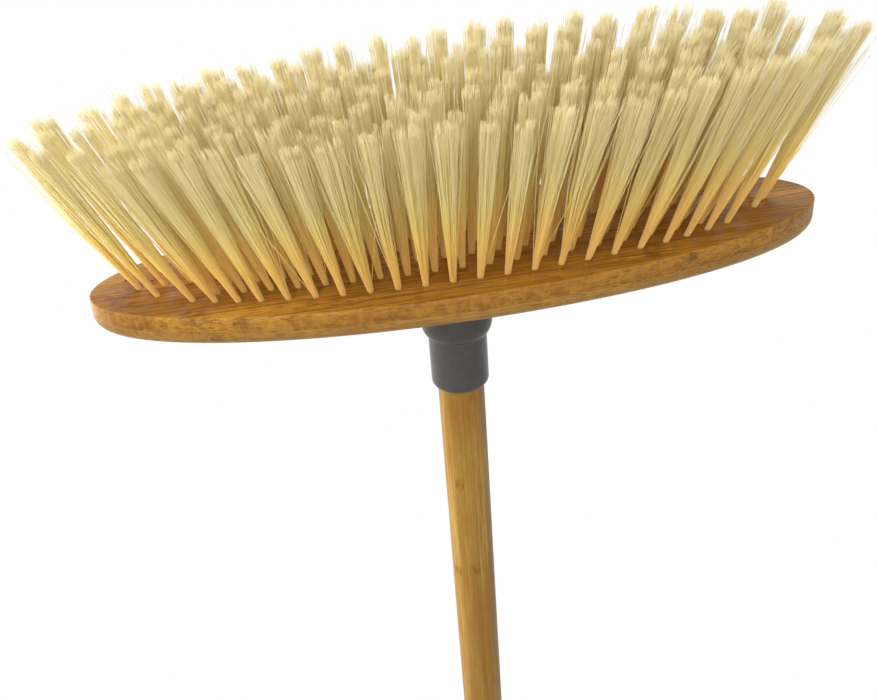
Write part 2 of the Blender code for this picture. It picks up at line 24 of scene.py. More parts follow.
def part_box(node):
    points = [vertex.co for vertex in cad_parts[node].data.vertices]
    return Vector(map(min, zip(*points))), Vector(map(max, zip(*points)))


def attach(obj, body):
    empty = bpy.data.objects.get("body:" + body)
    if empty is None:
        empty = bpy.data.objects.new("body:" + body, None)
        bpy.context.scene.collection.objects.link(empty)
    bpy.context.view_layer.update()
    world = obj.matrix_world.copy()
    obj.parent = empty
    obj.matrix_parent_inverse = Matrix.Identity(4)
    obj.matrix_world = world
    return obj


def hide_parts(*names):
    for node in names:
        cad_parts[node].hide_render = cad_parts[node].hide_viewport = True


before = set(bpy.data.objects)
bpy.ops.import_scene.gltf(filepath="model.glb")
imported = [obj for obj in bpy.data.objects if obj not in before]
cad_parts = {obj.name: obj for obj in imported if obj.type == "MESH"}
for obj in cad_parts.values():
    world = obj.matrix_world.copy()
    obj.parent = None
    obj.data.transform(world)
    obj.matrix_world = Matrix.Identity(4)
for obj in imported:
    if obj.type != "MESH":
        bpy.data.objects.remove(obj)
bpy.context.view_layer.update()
LOG = logging.getLogger("bamboo broom")
GOLDEN_ANGLE = math.pi * (3 - math.sqrt(5))
WELD = 1e-6
SHARP_TURN = math.radians(12)
SEAM_GAP = 0.00002
SCREW_CIRCLE = 0.006
SCREW_HOLE_RADIUS = 0.00205
SCREW_ANGLES = (math.pi / 2, math.pi * 7 / 6, math.pi * 11 / 6)


# Surfaces

@dataclass
class Surface:
    """One mesh as whole arrays: its points, its faces by number of corners, and its attributes."""

    points: np.ndarray
    faces: list = field(default_factory=list)
    values: dict = field(default_factory=dict)

    @staticmethod
    def merge(parts: list) -> "Surface":
        """Put several surfaces into one.

        Args:
            parts: Surfaces, which all carry the same attributes or none.

        Returns:
            One surface with every part's faces renumbered.
        """
        faces = []
        start = 0
        for part in parts:
            faces += [block + start for block in part.faces]
            start += len(part.points)
        values = {name: np.concatenate([part.values[name] for part in parts])
                  for name in parts[0].values}
        return Surface(np.concatenate([part.points for part in parts]), faces, values)

    def to_object(self, name: str, material: Material, smooth_angle: float = 35.0,
                  weld: bool = False) -> Object:
        """Put the arrays into a mesh object at the origin.

        Args:
            name: The piece's name.
            material: Its finish.
            smooth_angle: Edges sharper than this, in degrees, stay crisp.
            weld: Whether points that meet are merged.

        Returns:
            The linked object.
        """
        mesh = bpy.data.meshes.new(name)
        corners = np.concatenate([block.ravel() for block in self.faces])
        sizes = np.concatenate([np.full(len(block), block.shape[1]) for block in self.faces])
        starts = np.concatenate(([0], np.cumsum(sizes)[:-1]))
        mesh.vertices.add(len(self.points))
        mesh.vertices.foreach_set("co", self.points.astype(np.float32).ravel())
        mesh.loops.add(len(corners))
        mesh.loops.foreach_set("vertex_index", corners.astype(np.int32))
        mesh.polygons.add(len(sizes))
        mesh.polygons.foreach_set("loop_start", starts.astype(np.int32))
        mesh.update(calc_edges=True)
        for label, value in self.values.items():
            attribute = mesh.attributes.new(label, "FLOAT", "POINT")
            attribute.data.foreach_set("value", value.astype(np.float32))
        if weld:
            weld_points(mesh)
        mesh.shade_smooth()
        mesh.set_sharp_from_angle(angle=math.radians(smooth_angle))
        mesh.materials.append(material)
        piece = bpy.data.objects.new(name, mesh)
        bpy.context.scene.collection.objects.link(piece)
        return piece


def weld_points(mesh: Mesh) -> None:
    """Merge the points of a mesh that lie within the weld distance.

    Args:
        mesh: The mesh, which is changed itself.
    """
    bm = bmesh.new()
    bm.from_mesh(mesh)
    bmesh.ops.remove_doubles(bm, verts=bm.verts, dist=WELD)
    bm.to_mesh(mesh)
    bm.free()


def grid_quads(rows: int, columns: int) -> np.ndarray:
    """Number the quads of a grid that closes on itself along its columns.

    Args:
        rows: Rings of points.
        columns: Points in each ring.

    Returns:
        An array of four corners a face, round the ring first and then up.
    """
    row, column = np.meshgrid(np.arange(rows - 1), np.arange(columns), indexing="ij")
    after = (column + 1) % columns
    low = row * columns
    quads = np.stack([low + column, low + after, low + columns + after, low + columns + column], -1)
    return quads.reshape(-1, 4)


def arc(centre: tuple, radii: tuple, start: float, end: float, steps: int) -> np.ndarray:
    """Return points of an ellipse's arc: centre plus radii times cosine and sine of the angle.

    Args:
        centre: Radius and height of the centre.
        radii: Half axes outwards and upwards.
        start: First angle in degrees.
        end: Last angle in degrees.
        steps: Number of chords.

    Returns:
        An array of radius and height pairs.
    """
    angle = np.radians(np.linspace(start, end, steps + 1))
    return np.stack([centre[0] + radii[0] * np.cos(angle), centre[1] + radii[1] * np.sin(angle)], -1)


def ring_angles(segments: int) -> np.ndarray:
    """Return the angles of a ring's points: two pi times a point's number over their count."""
    return 2 * math.pi * np.arange(segments) / segments


def circle(segments: int, across: float, up: float | None = None, centre: tuple = (0, 0)) -> np.ndarray:
    """Return the points of a circle, or of an oval with two half axes, as X and Y pairs.

    Args:
        segments: Number of points.
        across: Half axis in X.
        up: Half axis in Y, the same as in X if left out.
        centre: X and Y of the middle.

    Returns:
        The centre plus across times cosine and up times sine of each ring angle.
    """
    turn = ring_angles(segments)
    high = across if up is None else up
    return np.array(centre) + np.stack([across * np.cos(turn), high * np.sin(turn)], -1)


def at_height(flat: np.ndarray, z: float | np.ndarray) -> np.ndarray:
    """Return X and Y pairs as points at a height."""
    return np.concatenate([flat, np.broadcast_to(z, (*flat.shape[:-1], 1))], -1)


def edge_share(profile: np.ndarray) -> np.ndarray:
    """Return 1 where a profile turns by twelve degrees or more, and 0 on its flats.

    Args:
        profile: Radius or inset and height pairs.

    Returns:
        The turn between a pair's two chords over twelve degrees, held between 0 and 1.
    """
    step = np.diff(profile, axis=0)
    heading = np.arctan2(step[:, 1], step[:, 0])
    turn = np.abs(np.diff(heading))
    share = np.concatenate(([0.0], np.minimum(turn, 2 * math.pi - turn), [0.0]))
    return np.clip(share / SHARP_TURN, 0, 1)


def revolved(profile: np.ndarray, segments: int, closed: bool = False,
             ridge: "Thread | None" = None, edges: bool = True) -> Surface:
    """Turn a profile about the Z axis.

    Each point is (r cos a, r sin a, z) for every profile pair and every angle a. A thread adds its
    height, a function of a and z, to r.

    Args:
        profile: Radius and height pairs, with the solid on the left as they run.
        segments: Number of sides.
        closed: Whether the last pair joins the first.
        ridge: A thread that the round wall carries.
        edges: Whether the edge attribute marks the profile's turns, or is 0 all over.

    Returns:
        The closed surface; a profile that starts or ends on the axis gets a pole there.
    """
    angle = ring_angles(segments)
    radius = np.repeat(profile[:, :1], segments, axis=1)
    height = np.repeat(profile[:, 1:], segments, axis=1)
    if ridge is not None:
        radius = radius + ridge.relief(radius, height, angle[None, :])
    points = np.stack([radius * np.cos(angle), radius * np.sin(angle), height], -1)
    count = len(profile)
    faces = [grid_quads(count, segments)]
    if closed:
        last = (count - 1) * segments + np.arange(segments)
        first = np.arange(segments)
        faces.append(np.stack([last, np.roll(last, -1), np.roll(first, -1), first], -1))
    edge = edge_share(profile) if edges else np.zeros(count)
    return Surface(points.reshape(-1, 3), faces, {"edge": np.repeat(edge, segments)})


@dataclass(frozen=True)
class Thread:
    """A screw thread as a height over a round wall.

    The height is depth times a trapezoid of the phase (z - start) / pitch - a / 2 pi, faded out at
    both ends of its span.
    """

    start: float
    low: float
    high: float
    pitch: float
    depth: float
    crest: float
    flank: float
    wall_radius: float
    lead: float = 0.0006

    def relief(self, radius: np.ndarray, height: np.ndarray, angle: np.ndarray) -> np.ndarray:
        """Return how far the ridge stands out of the wall, and nothing away from that wall.

        Args:
            radius: Radius of each point of the round wall.
            height: Height of each point.
            angle: Angle of each point.

        Returns:
            A height at each point.
        """
        phase = (height - self.start) / self.pitch - angle / (2 * math.pi)
        away = np.abs(phase - np.round(phase)) * self.pitch
        shape = np.clip((self.crest / 2 + self.flank - away) / self.flank, 0, 1)
        fade = (np.clip((height - self.low) / self.lead, 0, 1)
                * np.clip((self.high - height) / self.lead, 0, 1))
        on_wall = np.abs(radius - self.wall_radius) < WELD
        return self.depth * shape * fade * on_wall


def tubes(paths: np.ndarray, radii: np.ndarray, sides: int, values: dict) -> Surface:
    """Carry a small polygon along many paths at once.

    Round each path point the ring is e1 cos a + e2 sin a times the radius, where e1 is square to
    the path's direction and to Y, and e2 is square to both.

    Args:
        paths: Points as tubes by stations by three.
        radii: Radius at each station of each tube.
        sides: Corners of the polygon.
        values: Attributes at each station of each tube.

    Returns:
        Closed tubes with capped ends.
    """
    count, stations = radii.shape
    ahead = np.gradient(paths, axis=1)
    ahead /= np.linalg.norm(ahead, axis=2, keepdims=True)
    first = np.cross(ahead, np.array([0.0, 1.0, 0.0]))
    first /= np.linalg.norm(first, axis=2, keepdims=True)
    second = np.cross(ahead, first)
    angle = ring_angles(sides)[:, None]
    ring = first[:, :, None] * np.cos(angle) + second[:, :, None] * np.sin(angle)
    points = paths[:, :, None] + ring * radii[:, :, None, None]
    one = grid_quads(stations, sides)
    start = np.arange(count)[:, None, None] * (stations * sides)
    corners = np.arange(sides)
    foot = start[:, 0] + corners[::-1]
    head = start[:, 0] + (stations - 1) * sides + corners
    faces = [(one[None] + start).reshape(-1, 4), foot, head]
    spread = {name: np.repeat(value.reshape(-1), sides) for name, value in values.items()}
    return Surface(points.reshape(-1, 3), faces, spread)


def screw_holes() -> list:
    """Return the X, Y and radius of the holes for the three screws that hold the socket."""
    return [(SCREW_CIRCLE * math.cos(angle), SCREW_CIRCLE * math.sin(angle), SCREW_HOLE_RADIUS)
            for angle in SCREW_ANGLES]


# Finishes

def linear(red: int, green: int, blue: int) -> tuple:
    """Return a display colour, each part from 0 to 255, as linear light with alpha.

    Args:
        red: Red part.
        green: Green part.
        blue: Blue part.

    Returns:
        Each part over 12.92, or the power 2.4 of (part + 0.055) / 1.055 above the dark end.
    """
    share = np.array([red, green, blue]) / 255
    light = np.where(share <= 0.04045, share / 12.92, ((share + 0.055) / 1.055) ** 2.4)
    return (*light.tolist(), 1.0)


class Nodes:
    """Short calls that add and join nodes in one tree."""

    def __init__(self, tree: NodeTree) -> None:
        """Keep the tree that the nodes go into."""
        self.tree = tree

    def add(self, kind: str, **settings: object) -> Node:
        """Add a node and set its own properties.

        Args:
            kind: The node's class name without its ShaderNode prefix.
            settings: Properties by name.

        Returns:
            The new node.
        """
        node = self.tree.nodes.new("ShaderNode" + kind)
        for name, value in settings.items():
            setattr(node, name, value)
        return node

    def join(self, source: NodeSocket, target: NodeSocket) -> None:
        """Link an output to an input."""
        self.tree.links.new(source, target)

    def feed(self, node: Node, inputs: dict) -> Node:
        """Set or link a node's inputs.

        Args:
            node: The node.
            inputs: Values or output sockets, by the input's name or place.

        Returns:
            The same node.
        """
        for key, value in inputs.items():
            if isinstance(value, NodeSocket):
                self.join(value, node.inputs[key])
            else:
                node.inputs[key].default_value = value
        return node

    def math(self, operation: str, first: object, second: object = 0.0,
             clamp: bool = False) -> NodeSocket:
        """Return the result of one sum on two values or sockets."""
        node = self.add("Math", operation=operation, use_clamp=clamp)
        return self.feed(node, {0: first, 1: second}).outputs[0]

    def times(self, first: object, second: object, clamp: bool = False) -> NodeSocket:
        """Return the product of two values or sockets."""
        return self.math("MULTIPLY", first, second, clamp)

    def attribute(self, name: str) -> NodeSocket:
        """Return one of the mesh's own attributes as a value."""
        return self.add("Attribute", attribute_name=name).outputs["Fac"]

    def color(self, red: object, green: object, blue: object) -> NodeSocket:
        """Return a colour made of three values."""
        return self.feed(self.add("CombineColor"), {0: red, 1: green, 2: blue}).outputs[0]

    def noise(self, vector: NodeSocket, scale: object, detail: float = 2.0,
              roughness: float = 0.5) -> NodeSocket:
        """Return a noise value from 0 to 1 at the vector."""
        inputs = {"Vector": vector, "Scale": scale, "Detail": detail, "Roughness": roughness}
        return self.feed(self.add("TexNoise"), inputs).outputs[0]

    def streaks(self, vector: NodeSocket, scale: tuple, detail: float,
                roughness: float = 0.5) -> NodeSocket:
        """Return noise with its own scale along each axis."""
        node = self.add("VectorMath", operation="MULTIPLY")
        scaled = self.feed(node, {0: vector, 1: scale}).outputs[0]
        return self.noise(scaled, 1.0, detail, roughness)

    def span(self, value: NodeSocket, low: float, high: float, to_low: float = 0.0,
             to_high: float = 1.0) -> NodeSocket:
        """Return a value moved from one range to another and held inside it.

        Args:
            value: The value.
            low: Start of its range.
            high: End of its range.
            to_low: Result at the start.
            to_high: Result at the end.

        Returns:
            The result, with a smooth start and end.
        """
        node = self.add("MapRange", interpolation_type="SMOOTHSTEP")
        inputs = {"Value": value, "From Min": low, "From Max": high, "To Min": to_low,
                  "To Max": to_high}
        return self.feed(node, inputs).outputs[0]

    def blend(self, share: object, first: object, second: object, kind: str = "MIX") -> NodeSocket:
        """Return two colours mixed by a share."""
        node = self.add("Mix", data_type="RGBA", blend_type=kind)
        return self.feed(node, {0: share, 6: first, 7: second}).outputs[2]

    def either(self, share: object, first: Node, second: Node) -> Node:
        """Return two shaders mixed by a share."""
        return self.feed(self.add("MixShader"), {0: share, 1: first.outputs[0], 2: second.outputs[0]})

    def group(self, tree: NodeTree, inputs: dict) -> bpy.types.bpy_prop_collection:
        """Put a shared group into the tree, set its inputs and return its outputs.

        Args:
            tree: The shared group.
            inputs: Values or sockets by input name.

        Returns:
            The group's outputs by name.
        """
        node = self.add("Group")
        node.node_tree = tree
        return self.feed(node, inputs).outputs

    def bump(self, height: NodeSocket, depth: float) -> NodeSocket:
        """Return the normal of a surface that a height raises by a depth in metres."""
        inputs = {"Height": height, "Distance": depth, "Strength": 1.0}
        return self.feed(self.add("Bump"), inputs).outputs[0]


def new_group(name: str, inputs: dict, outputs: dict) -> tuple:
    """Make a shader node group with named sockets.

    Args:
        name: The group's name.
        inputs: Socket kinds by input name.
        outputs: Socket kinds by output name.

    Returns:
        The group, its Nodes helper, its input node and its output node.
    """
    group = bpy.data.node_groups.new(name, "ShaderNodeTree")
    for side, sockets in (("INPUT", inputs), ("OUTPUT", outputs)):
        for label, kind in sockets.items():
            group.interface.new_socket(label, in_out=side, socket_type="NodeSocket" + kind)
    return group, Nodes(group), group.nodes.new("NodeGroupInput"), group.nodes.new("NodeGroupOutput")


@dataclass(frozen=True)
class BambooGrain:
    """The laminated bamboo pattern, whose grain runs along the X of its vector.

    Bundles are noise stretched along X, so they draw lines on the long faces and specks on the
    cut ends. Strips are steps of Y and Z, each with its own tone and its own knuckles, which are
    bands across it at a steady spacing.
    """

    sway_scale: tuple = (6.0, 30.0, 30.0)
    sway: float = 0.0012
    glue_width: float = 0.05
    bend_scale: tuple = (40.0, 160.0, 160.0)
    bend: float = 0.012
    knuckle_rise: float = 0.8
    gap_scale: tuple = (160.0, 420.0, 420.0)
    gap_range: tuple = (0.34, 0.6)
    bundle_scale: tuple = (18.0, 800.0, 800.0)
    fine_scale: tuple = (130.0, 1800.0, 1800.0)
    pore_range: tuple = (0.54, 0.62)
    cloud_scale: tuple = (9.0, 45.0, 45.0)
    bundle_relief: float = 0.5
    glue_relief: float = 0.6

    def group(self) -> NodeTree:
        """Make the group, which puts out masks from 0 to 1 and a relief height.

        Returns:
            The group.
        """
        inputs = ("Strip Width", "Strip Depth", "Knuckle Spacing", "Knuckle Width")
        outputs = ("Bundles", "Pores", "Strip Tone", "Glue Line", "Knuckle", "Cloud", "Relief")
        group, nodes, source, sink = new_group(
            "bamboo grain", {"Vector": "Vector", **dict.fromkeys(inputs, "Float")},
            dict.fromkeys(outputs, "Float"))
        place, width, depth, spacing, band_width = list(source.outputs)[:5]
        x, y, z = nodes.feed(nodes.add("SeparateXYZ"), {0: place}).outputs
        sway = nodes.times(nodes.streaks(place, self.sway_scale, 1.0), self.sway)
        strip_across = nodes.math("DIVIDE", nodes.math("ADD", y, sway), width)
        strip_through = nodes.math("DIVIDE", z, depth)
        strip = nodes.feed(nodes.add("CombineXYZ"), {0: nodes.math("FLOOR", strip_across),
                                                     1: nodes.math("FLOOR", strip_through)})
        chance = nodes.feed(nodes.add("TexWhiteNoise", noise_dimensions="3D"),
                            {"Vector": strip.outputs[0]}).outputs
        glue = nodes.span(nodes.math("PINGPONG", strip_across, 0.5), 0.0, self.glue_width, 1.0, 0.0)

        shifted = nodes.math("ADD", x, nodes.times(chance["Value"], spacing))
        bend = nodes.times(nodes.streaks(place, self.bend_scale, 3.0), self.bend)
        cycle = nodes.math("DIVIDE", nodes.math("ADD", shifted, bend), spacing)
        off_band = nodes.times(nodes.math("PINGPONG", cycle, 0.5), spacing)
        band = nodes.math("SUBTRACT", 1.0, nodes.math("DIVIDE", off_band, band_width), clamp=True)
        broken = nodes.streaks(place, self.gap_scale, 3.0, 0.6)
        knuckle = nodes.times(nodes.span(band, 0.0, self.knuckle_rise), nodes.span(broken, *self.gap_range))

        bundles = nodes.streaks(place, self.bundle_scale, 4.0, 0.72)
        fine = nodes.streaks(place, self.fine_scale, 2.0, 0.6)
        pores = nodes.span(nodes.math("MAXIMUM", bundles, fine), *self.pore_range)
        cloud = nodes.streaks(place, self.cloud_scale, 3.0, 0.55)
        relief = nodes.math("SUBTRACT", nodes.times(bundles, self.bundle_relief),
                            nodes.times(glue, self.glue_relief))
        made = (bundles, pores, chance["Color"], glue, knuckle, cloud, relief)
        nodes.feed(sink, dict(zip(outputs, made)))
        return group


def fine_tooth_group() -> NodeTree:
    """Make a fine moulded or brushed tooth: a height from small noise and a mask from larger noise.

    Returns:
        The group.
    """
    inputs = {"Vector": "Vector", "Tooth Scale": "Float", "Patch Scale": "Float"}
    group, nodes, source, sink = new_group("fine tooth", inputs, {"Height": "Float", "Patches": "Float"})
    place, tooth_scale, patch_scale = list(source.outputs)[:3]
    nodes.feed(sink, {"Height": nodes.noise(place, tooth_scale),
                      "Patches": nodes.noise(place, patch_scale, 4.0)})
    return group


def edge_rub_group() -> NodeTree:
    """Make a broken mask along rubbed edges from the piece's own edge attribute and noise.

    Returns:
        The group.
    """
    inputs = {"Vector": "Vector", "Edge": "Float", "Amount": "Float"}
    group, nodes, source, sink = new_group("edge rub", inputs, {"Mask": "Float"})
    place, edge, amount = list(source.outputs)[:3]
    mask = nodes.times(edge, nodes.span(nodes.noise(place, 260.0, 4.0, 0.7), 0.35, 0.7))
    nodes.feed(sink, {"Mask": nodes.times(mask, amount, clamp=True)})
    return group


class GrainAxis(Enum):
    """Which way the bamboo's grain runs, as the turn that brings it to X."""

    ALONG_HEAD = (0.0, 0.0, 0.0)
    ALONG_HANDLE = (0.0, math.pi / 2, 0.0)


def blank_material(name: str) -> tuple:
    """Make a material with only a Principled shader.

    Args:
        name: The material's name.

    Returns:
        The material, its Nodes helper and the shader node.
    """
    material = bpy.data.materials.new(name)
    material.use_nodes = True
    nodes = Nodes(material.node_tree)
    return material, nodes, material.node_tree.nodes["Principled BSDF"]


def darkened(color: tuple, share: float) -> tuple:
    """Return a colour with its light taken down to a share."""
    return tuple(part * share for part in color[:3]) + (1.0,)


@dataclass(frozen=True)
class BambooFinish:
    """Oiled laminated bamboo."""

    name: str
    axis: GrainAxis
    pale: tuple
    deep: tuple
    knuckle: tuple
    strip_width: float
    strip_depth: float
    knuckle_spacing: float
    knuckle_width: float
    turn: float = 0.0
    roughness: float = 0.42
    specular: float = 0.32
    lines: float = 0.7
    pores: float = 0.5
    seed_shift: float = 0.0
    # Painted shade: the colour and share that darken the walls of holes whose edge attribute is -1.
    painted_hole_shade: tuple = linear(34, 22, 12)
    hole_shade_share: float = 0.95
    strip_tones: tuple = (0.8, 1.12)
    strip_offsets: tuple = (0.3, 0.2)
    cloud_range: tuple = (0.3, 0.7)
    line_range: tuple = (0.42, 0.6)
    gloss_range: tuple = (0.3, 0.7)
    gloss_steps: tuple = (-0.07, 0.1)
    knuckle_share: float = 0.65
    glue_share: float = 0.22
    # Share of pale colour on edges: partly real rubbed wear, partly a painted highlight along the rounded
    # edges.
    rub_share: float = 0.55
    coat: float = 0.03
    coat_roughness: float = 0.25
    relief_depth: float = 0.00012

    def material(self, grain: NodeTree, rub: NodeTree) -> Material:
        """Build the finish.

        Args:
            grain: The bamboo grain group.
            rub: The edge rub group.

        Returns:
            The material.
        """
        material, nodes, shader = blank_material(self.name)
        place = nodes.add("TexCoord").outputs["Object"]
        about = nodes.feed(nodes.add("Mapping", vector_type="POINT"),
                           {"Vector": place, "Rotation": (0.0, 0.0, self.turn)})
        shift = (self.seed_shift, self.strip_width * self.strip_offsets[0],
                 self.strip_depth * self.strip_offsets[1])
        turned = nodes.feed(nodes.add("Mapping", vector_type="POINT"),
                            {"Vector": about.outputs[0], "Rotation": self.axis.value, "Location": shift})
        wood = nodes.group(grain, {
            "Vector": turned.outputs[0], "Strip Width": self.strip_width,
            "Strip Depth": self.strip_depth, "Knuckle Spacing": self.knuckle_spacing,
            "Knuckle Width": self.knuckle_width})
        body = nodes.blend(nodes.span(wood["Cloud"], *self.cloud_range), self.pale, self.deep)
        tone = nodes.span(wood["Strip Tone"], 0.0, 1.0, *self.strip_tones)
        stripped = nodes.blend(1.0, body, nodes.color(tone, tone, tone), "MULTIPLY")
        lines = nodes.span(wood["Bundles"], *self.line_range, 0.0, self.lines)
        color = nodes.blend(lines, stripped, self.deep)
        for mask, share in (("Pores", self.pores), ("Knuckle", self.knuckle_share),
                            ("Glue Line", self.glue_share)):
            color = nodes.blend(nodes.times(wood[mask], share), color, self.knuckle)
        edge = nodes.attribute("edge")
        # The pale edges are partly real rubbed wear and partly a painted highlight along the rounded edges.
        worn = nodes.group(rub, {"Vector": place, "Edge": edge, "Amount": self.rub_share})
        rubbed = nodes.blend(worn["Mask"], color, self.pale)
        # Painted shade on hole walls, where the edge attribute is -1.
        hole_depth = nodes.times(edge, -self.hole_shade_share, clamp=True)
        gloss = nodes.span(wood["Bundles"], *self.gloss_range,
                           *(self.roughness + step for step in self.gloss_steps))
        nodes.feed(shader, {"Base Color": nodes.blend(hole_depth, rubbed, self.painted_hole_shade),
                            "Roughness": gloss, "Specular IOR Level": self.specular,
                            "Coat Weight": self.coat, "Coat Roughness": self.coat_roughness,
                            "Normal": nodes.bump(wood["Relief"], self.relief_depth)})
        return material


@dataclass(frozen=True)
class BristleFinish:
    """Cream fibre: pale where light falls on it, amber where it shines through. Both colours run from a
    yellow root, painted light for the amber glow deep among the fibres, to a whiter tip, partly the split
    ends' own paleness and partly a painted highlight.
    """

    name: str = "cream fibre"
    # Painted light: yellower at the root for the amber glow deep among the fibres; whiter at the tip,
    # partly the split ends, partly a painted highlight.
    root: tuple = linear(255, 247, 187)
    tip: tuple = linear(247, 242, 224)
    root_glow: tuple = linear(255, 233, 114)
    tip_glow: tuple = linear(248, 242, 211)
    roughness: float = 0.5
    see_through: float = 0.58
    specular: float = 0.3
    darkest: float = 0.96
    roughness_range: float = 0.1
    cream_span: tuple = (0.3, 1.0)
    amber_span: tuple = (0.05, 0.65)

    def material(self) -> Material:
        """Build the finish from the fibres' own along and tone attributes.

        Returns:
            The material.
        """
        material, nodes, shader = blank_material(self.name)
        along = nodes.attribute("along")
        tone = nodes.attribute("tone")
        level = nodes.span(tone, 0.0, 1.0, self.darkest, 1.0)
        shade = nodes.color(level, level, nodes.times(level, level))
        # Painted light along the fibre: amber-yellow at the root, whiter at the tip.
        cream = nodes.blend(nodes.span(along, *self.cream_span), self.root, self.tip)
        amber = nodes.blend(nodes.span(along, *self.amber_span), self.root_glow, self.tip_glow)
        gloss = nodes.span(tone, 0.0, 1.0, self.roughness - self.roughness_range,
                           self.roughness + self.roughness_range)
        nodes.feed(shader, {"Base Color": nodes.blend(1.0, cream, shade, "MULTIPLY"),
                            "Roughness": gloss, "Specular IOR Level": self.specular})
        through = nodes.feed(nodes.add("BsdfTranslucent"),
                             {"Color": nodes.blend(1.0, amber, shade, "MULTIPLY")})
        both = nodes.either(self.see_through, shader, through)
        nodes.join(both.outputs[0], material.node_tree.nodes["Material Output"].inputs["Surface"])
        return material


@dataclass(frozen=True)
class PlasticFinish:
    """Satin moulded plastic with a fine tooth."""

    name: str = "warm grey plastic"
    color: tuple = linear(79, 76, 72)
    rubbed: tuple = linear(118, 115, 110)
    roughness: float = 0.3
    specular: float = 0.2
    tooth_scale: float = 2600.0
    patch_scale: float = 55.0
    patch_darkness: float = 0.98
    rub_share: float = 0.35
    roughness_range: float = 0.01
    patch_range: tuple = (0.3, 0.7)
    gloss_range: tuple = (0.25, 0.75)
    tooth_depth: float = 0.000004

    def material(self, tooth: NodeTree, rub: NodeTree) -> Material:
        """Build the finish.

        Args:
            tooth: The fine tooth group.
            rub: The edge rub group.

        Returns:
            The material.
        """
        material, nodes, shader = blank_material(self.name)
        place = nodes.add("TexCoord").outputs["Object"]
        fine = nodes.group(tooth, {"Vector": place, "Tooth Scale": self.tooth_scale,
                                   "Patch Scale": self.patch_scale})
        darker = darkened(self.color, self.patch_darkness)
        body = nodes.blend(nodes.span(fine["Patches"], *self.patch_range), darker, self.color)
        worn = nodes.group(rub, {"Vector": place, "Edge": nodes.attribute("edge"),
                                 "Amount": self.rub_share})
        gloss = nodes.span(fine["Patches"], *self.gloss_range, self.roughness - self.roughness_range,
                           self.roughness + self.roughness_range)
        nodes.feed(shader, {"Base Color": nodes.blend(worn["Mask"], body, self.rubbed),
                            "Roughness": gloss, "Specular IOR Level": self.specular,
                            "Normal": nodes.bump(fine["Height"], self.tooth_depth)})
        return material


@dataclass(frozen=True)
class SteelFinish:
    """Zinc-plated screw steel."""

    name: str = "zinc steel"
    color: tuple = linear(196, 198, 200)
    roughness: float = 0.32
    tooth_scale: float = 5200.0
    patch_scale: float = 380.0
    patch_darkness: float = 0.8
    gloss_range: tuple = (0.2, 0.8)
    gloss_steps: tuple = (-0.08, 0.1)
    tooth_depth: float = 0.00001

    def material(self, tooth: NodeTree) -> Material:
        """Build the finish with the fine tooth group.

        Args:
            tooth: The fine tooth group.

        Returns:
            The material.
        """
        material, nodes, shader = blank_material(self.name)
        place = nodes.add("TexCoord").outputs["Object"]
        fine = nodes.group(tooth, {"Vector": place, "Tooth Scale": self.tooth_scale,
                                   "Patch Scale": self.patch_scale})
        dull = darkened(self.color, self.patch_darkness)
        gloss = nodes.span(fine["Patches"], *self.gloss_range,
                           *(self.roughness + step for step in self.gloss_steps))
        nodes.feed(shader, {"Base Color": nodes.blend(fine["Patches"], dull, self.color),
                            "Roughness": gloss, "Metallic": 1.0,
                            "Normal": nodes.bump(fine["Height"], self.tooth_depth)})
        return material


class Finishes:
    """Every material of the broom, built once, and the groups that they share."""

    def __init__(self) -> None:
        """Build the groups and then the materials."""
        grain = BambooGrain().group()
        tooth = fine_tooth_group()
        rub = edge_rub_group()
        face = BambooFinish("oiled face bamboo", GrainAxis.ALONG_HEAD, linear(202, 150, 56),
                            linear(154, 97, 20), linear(86, 42, 10), 0.0125, 0.0155, 0.21, 0.009,
                            seed_shift=0.105)
        back = BambooFinish("oiled back bamboo", GrainAxis.ALONG_HEAD, linear(192, 148, 68),
                            linear(160, 110, 38), linear(96, 56, 20), 0.0165, 0.0155, 0.24, 0.008,
                            seed_shift=3.7)
        pole = BambooFinish("oiled handle bamboo", GrainAxis.ALONG_HANDLE, linear(198, 160, 78),
                            linear(164, 116, 40), linear(140, 84, 32), 0.0052, 0.02, 0.31, 0.006,
                            turn=math.radians(62), specular=0.22, lines=0.6, pores=0.28)
        self.face_bamboo = face.material(grain, rub)
        self.back_bamboo = back.material(grain, rub)
        self.handle_bamboo = pole.material(grain, rub)
        self.fibre = BristleFinish().material()
        self.plastic = PlasticFinish().material(tooth, rub)
        self.steel = SteelFinish().material(tooth)


# Tufts

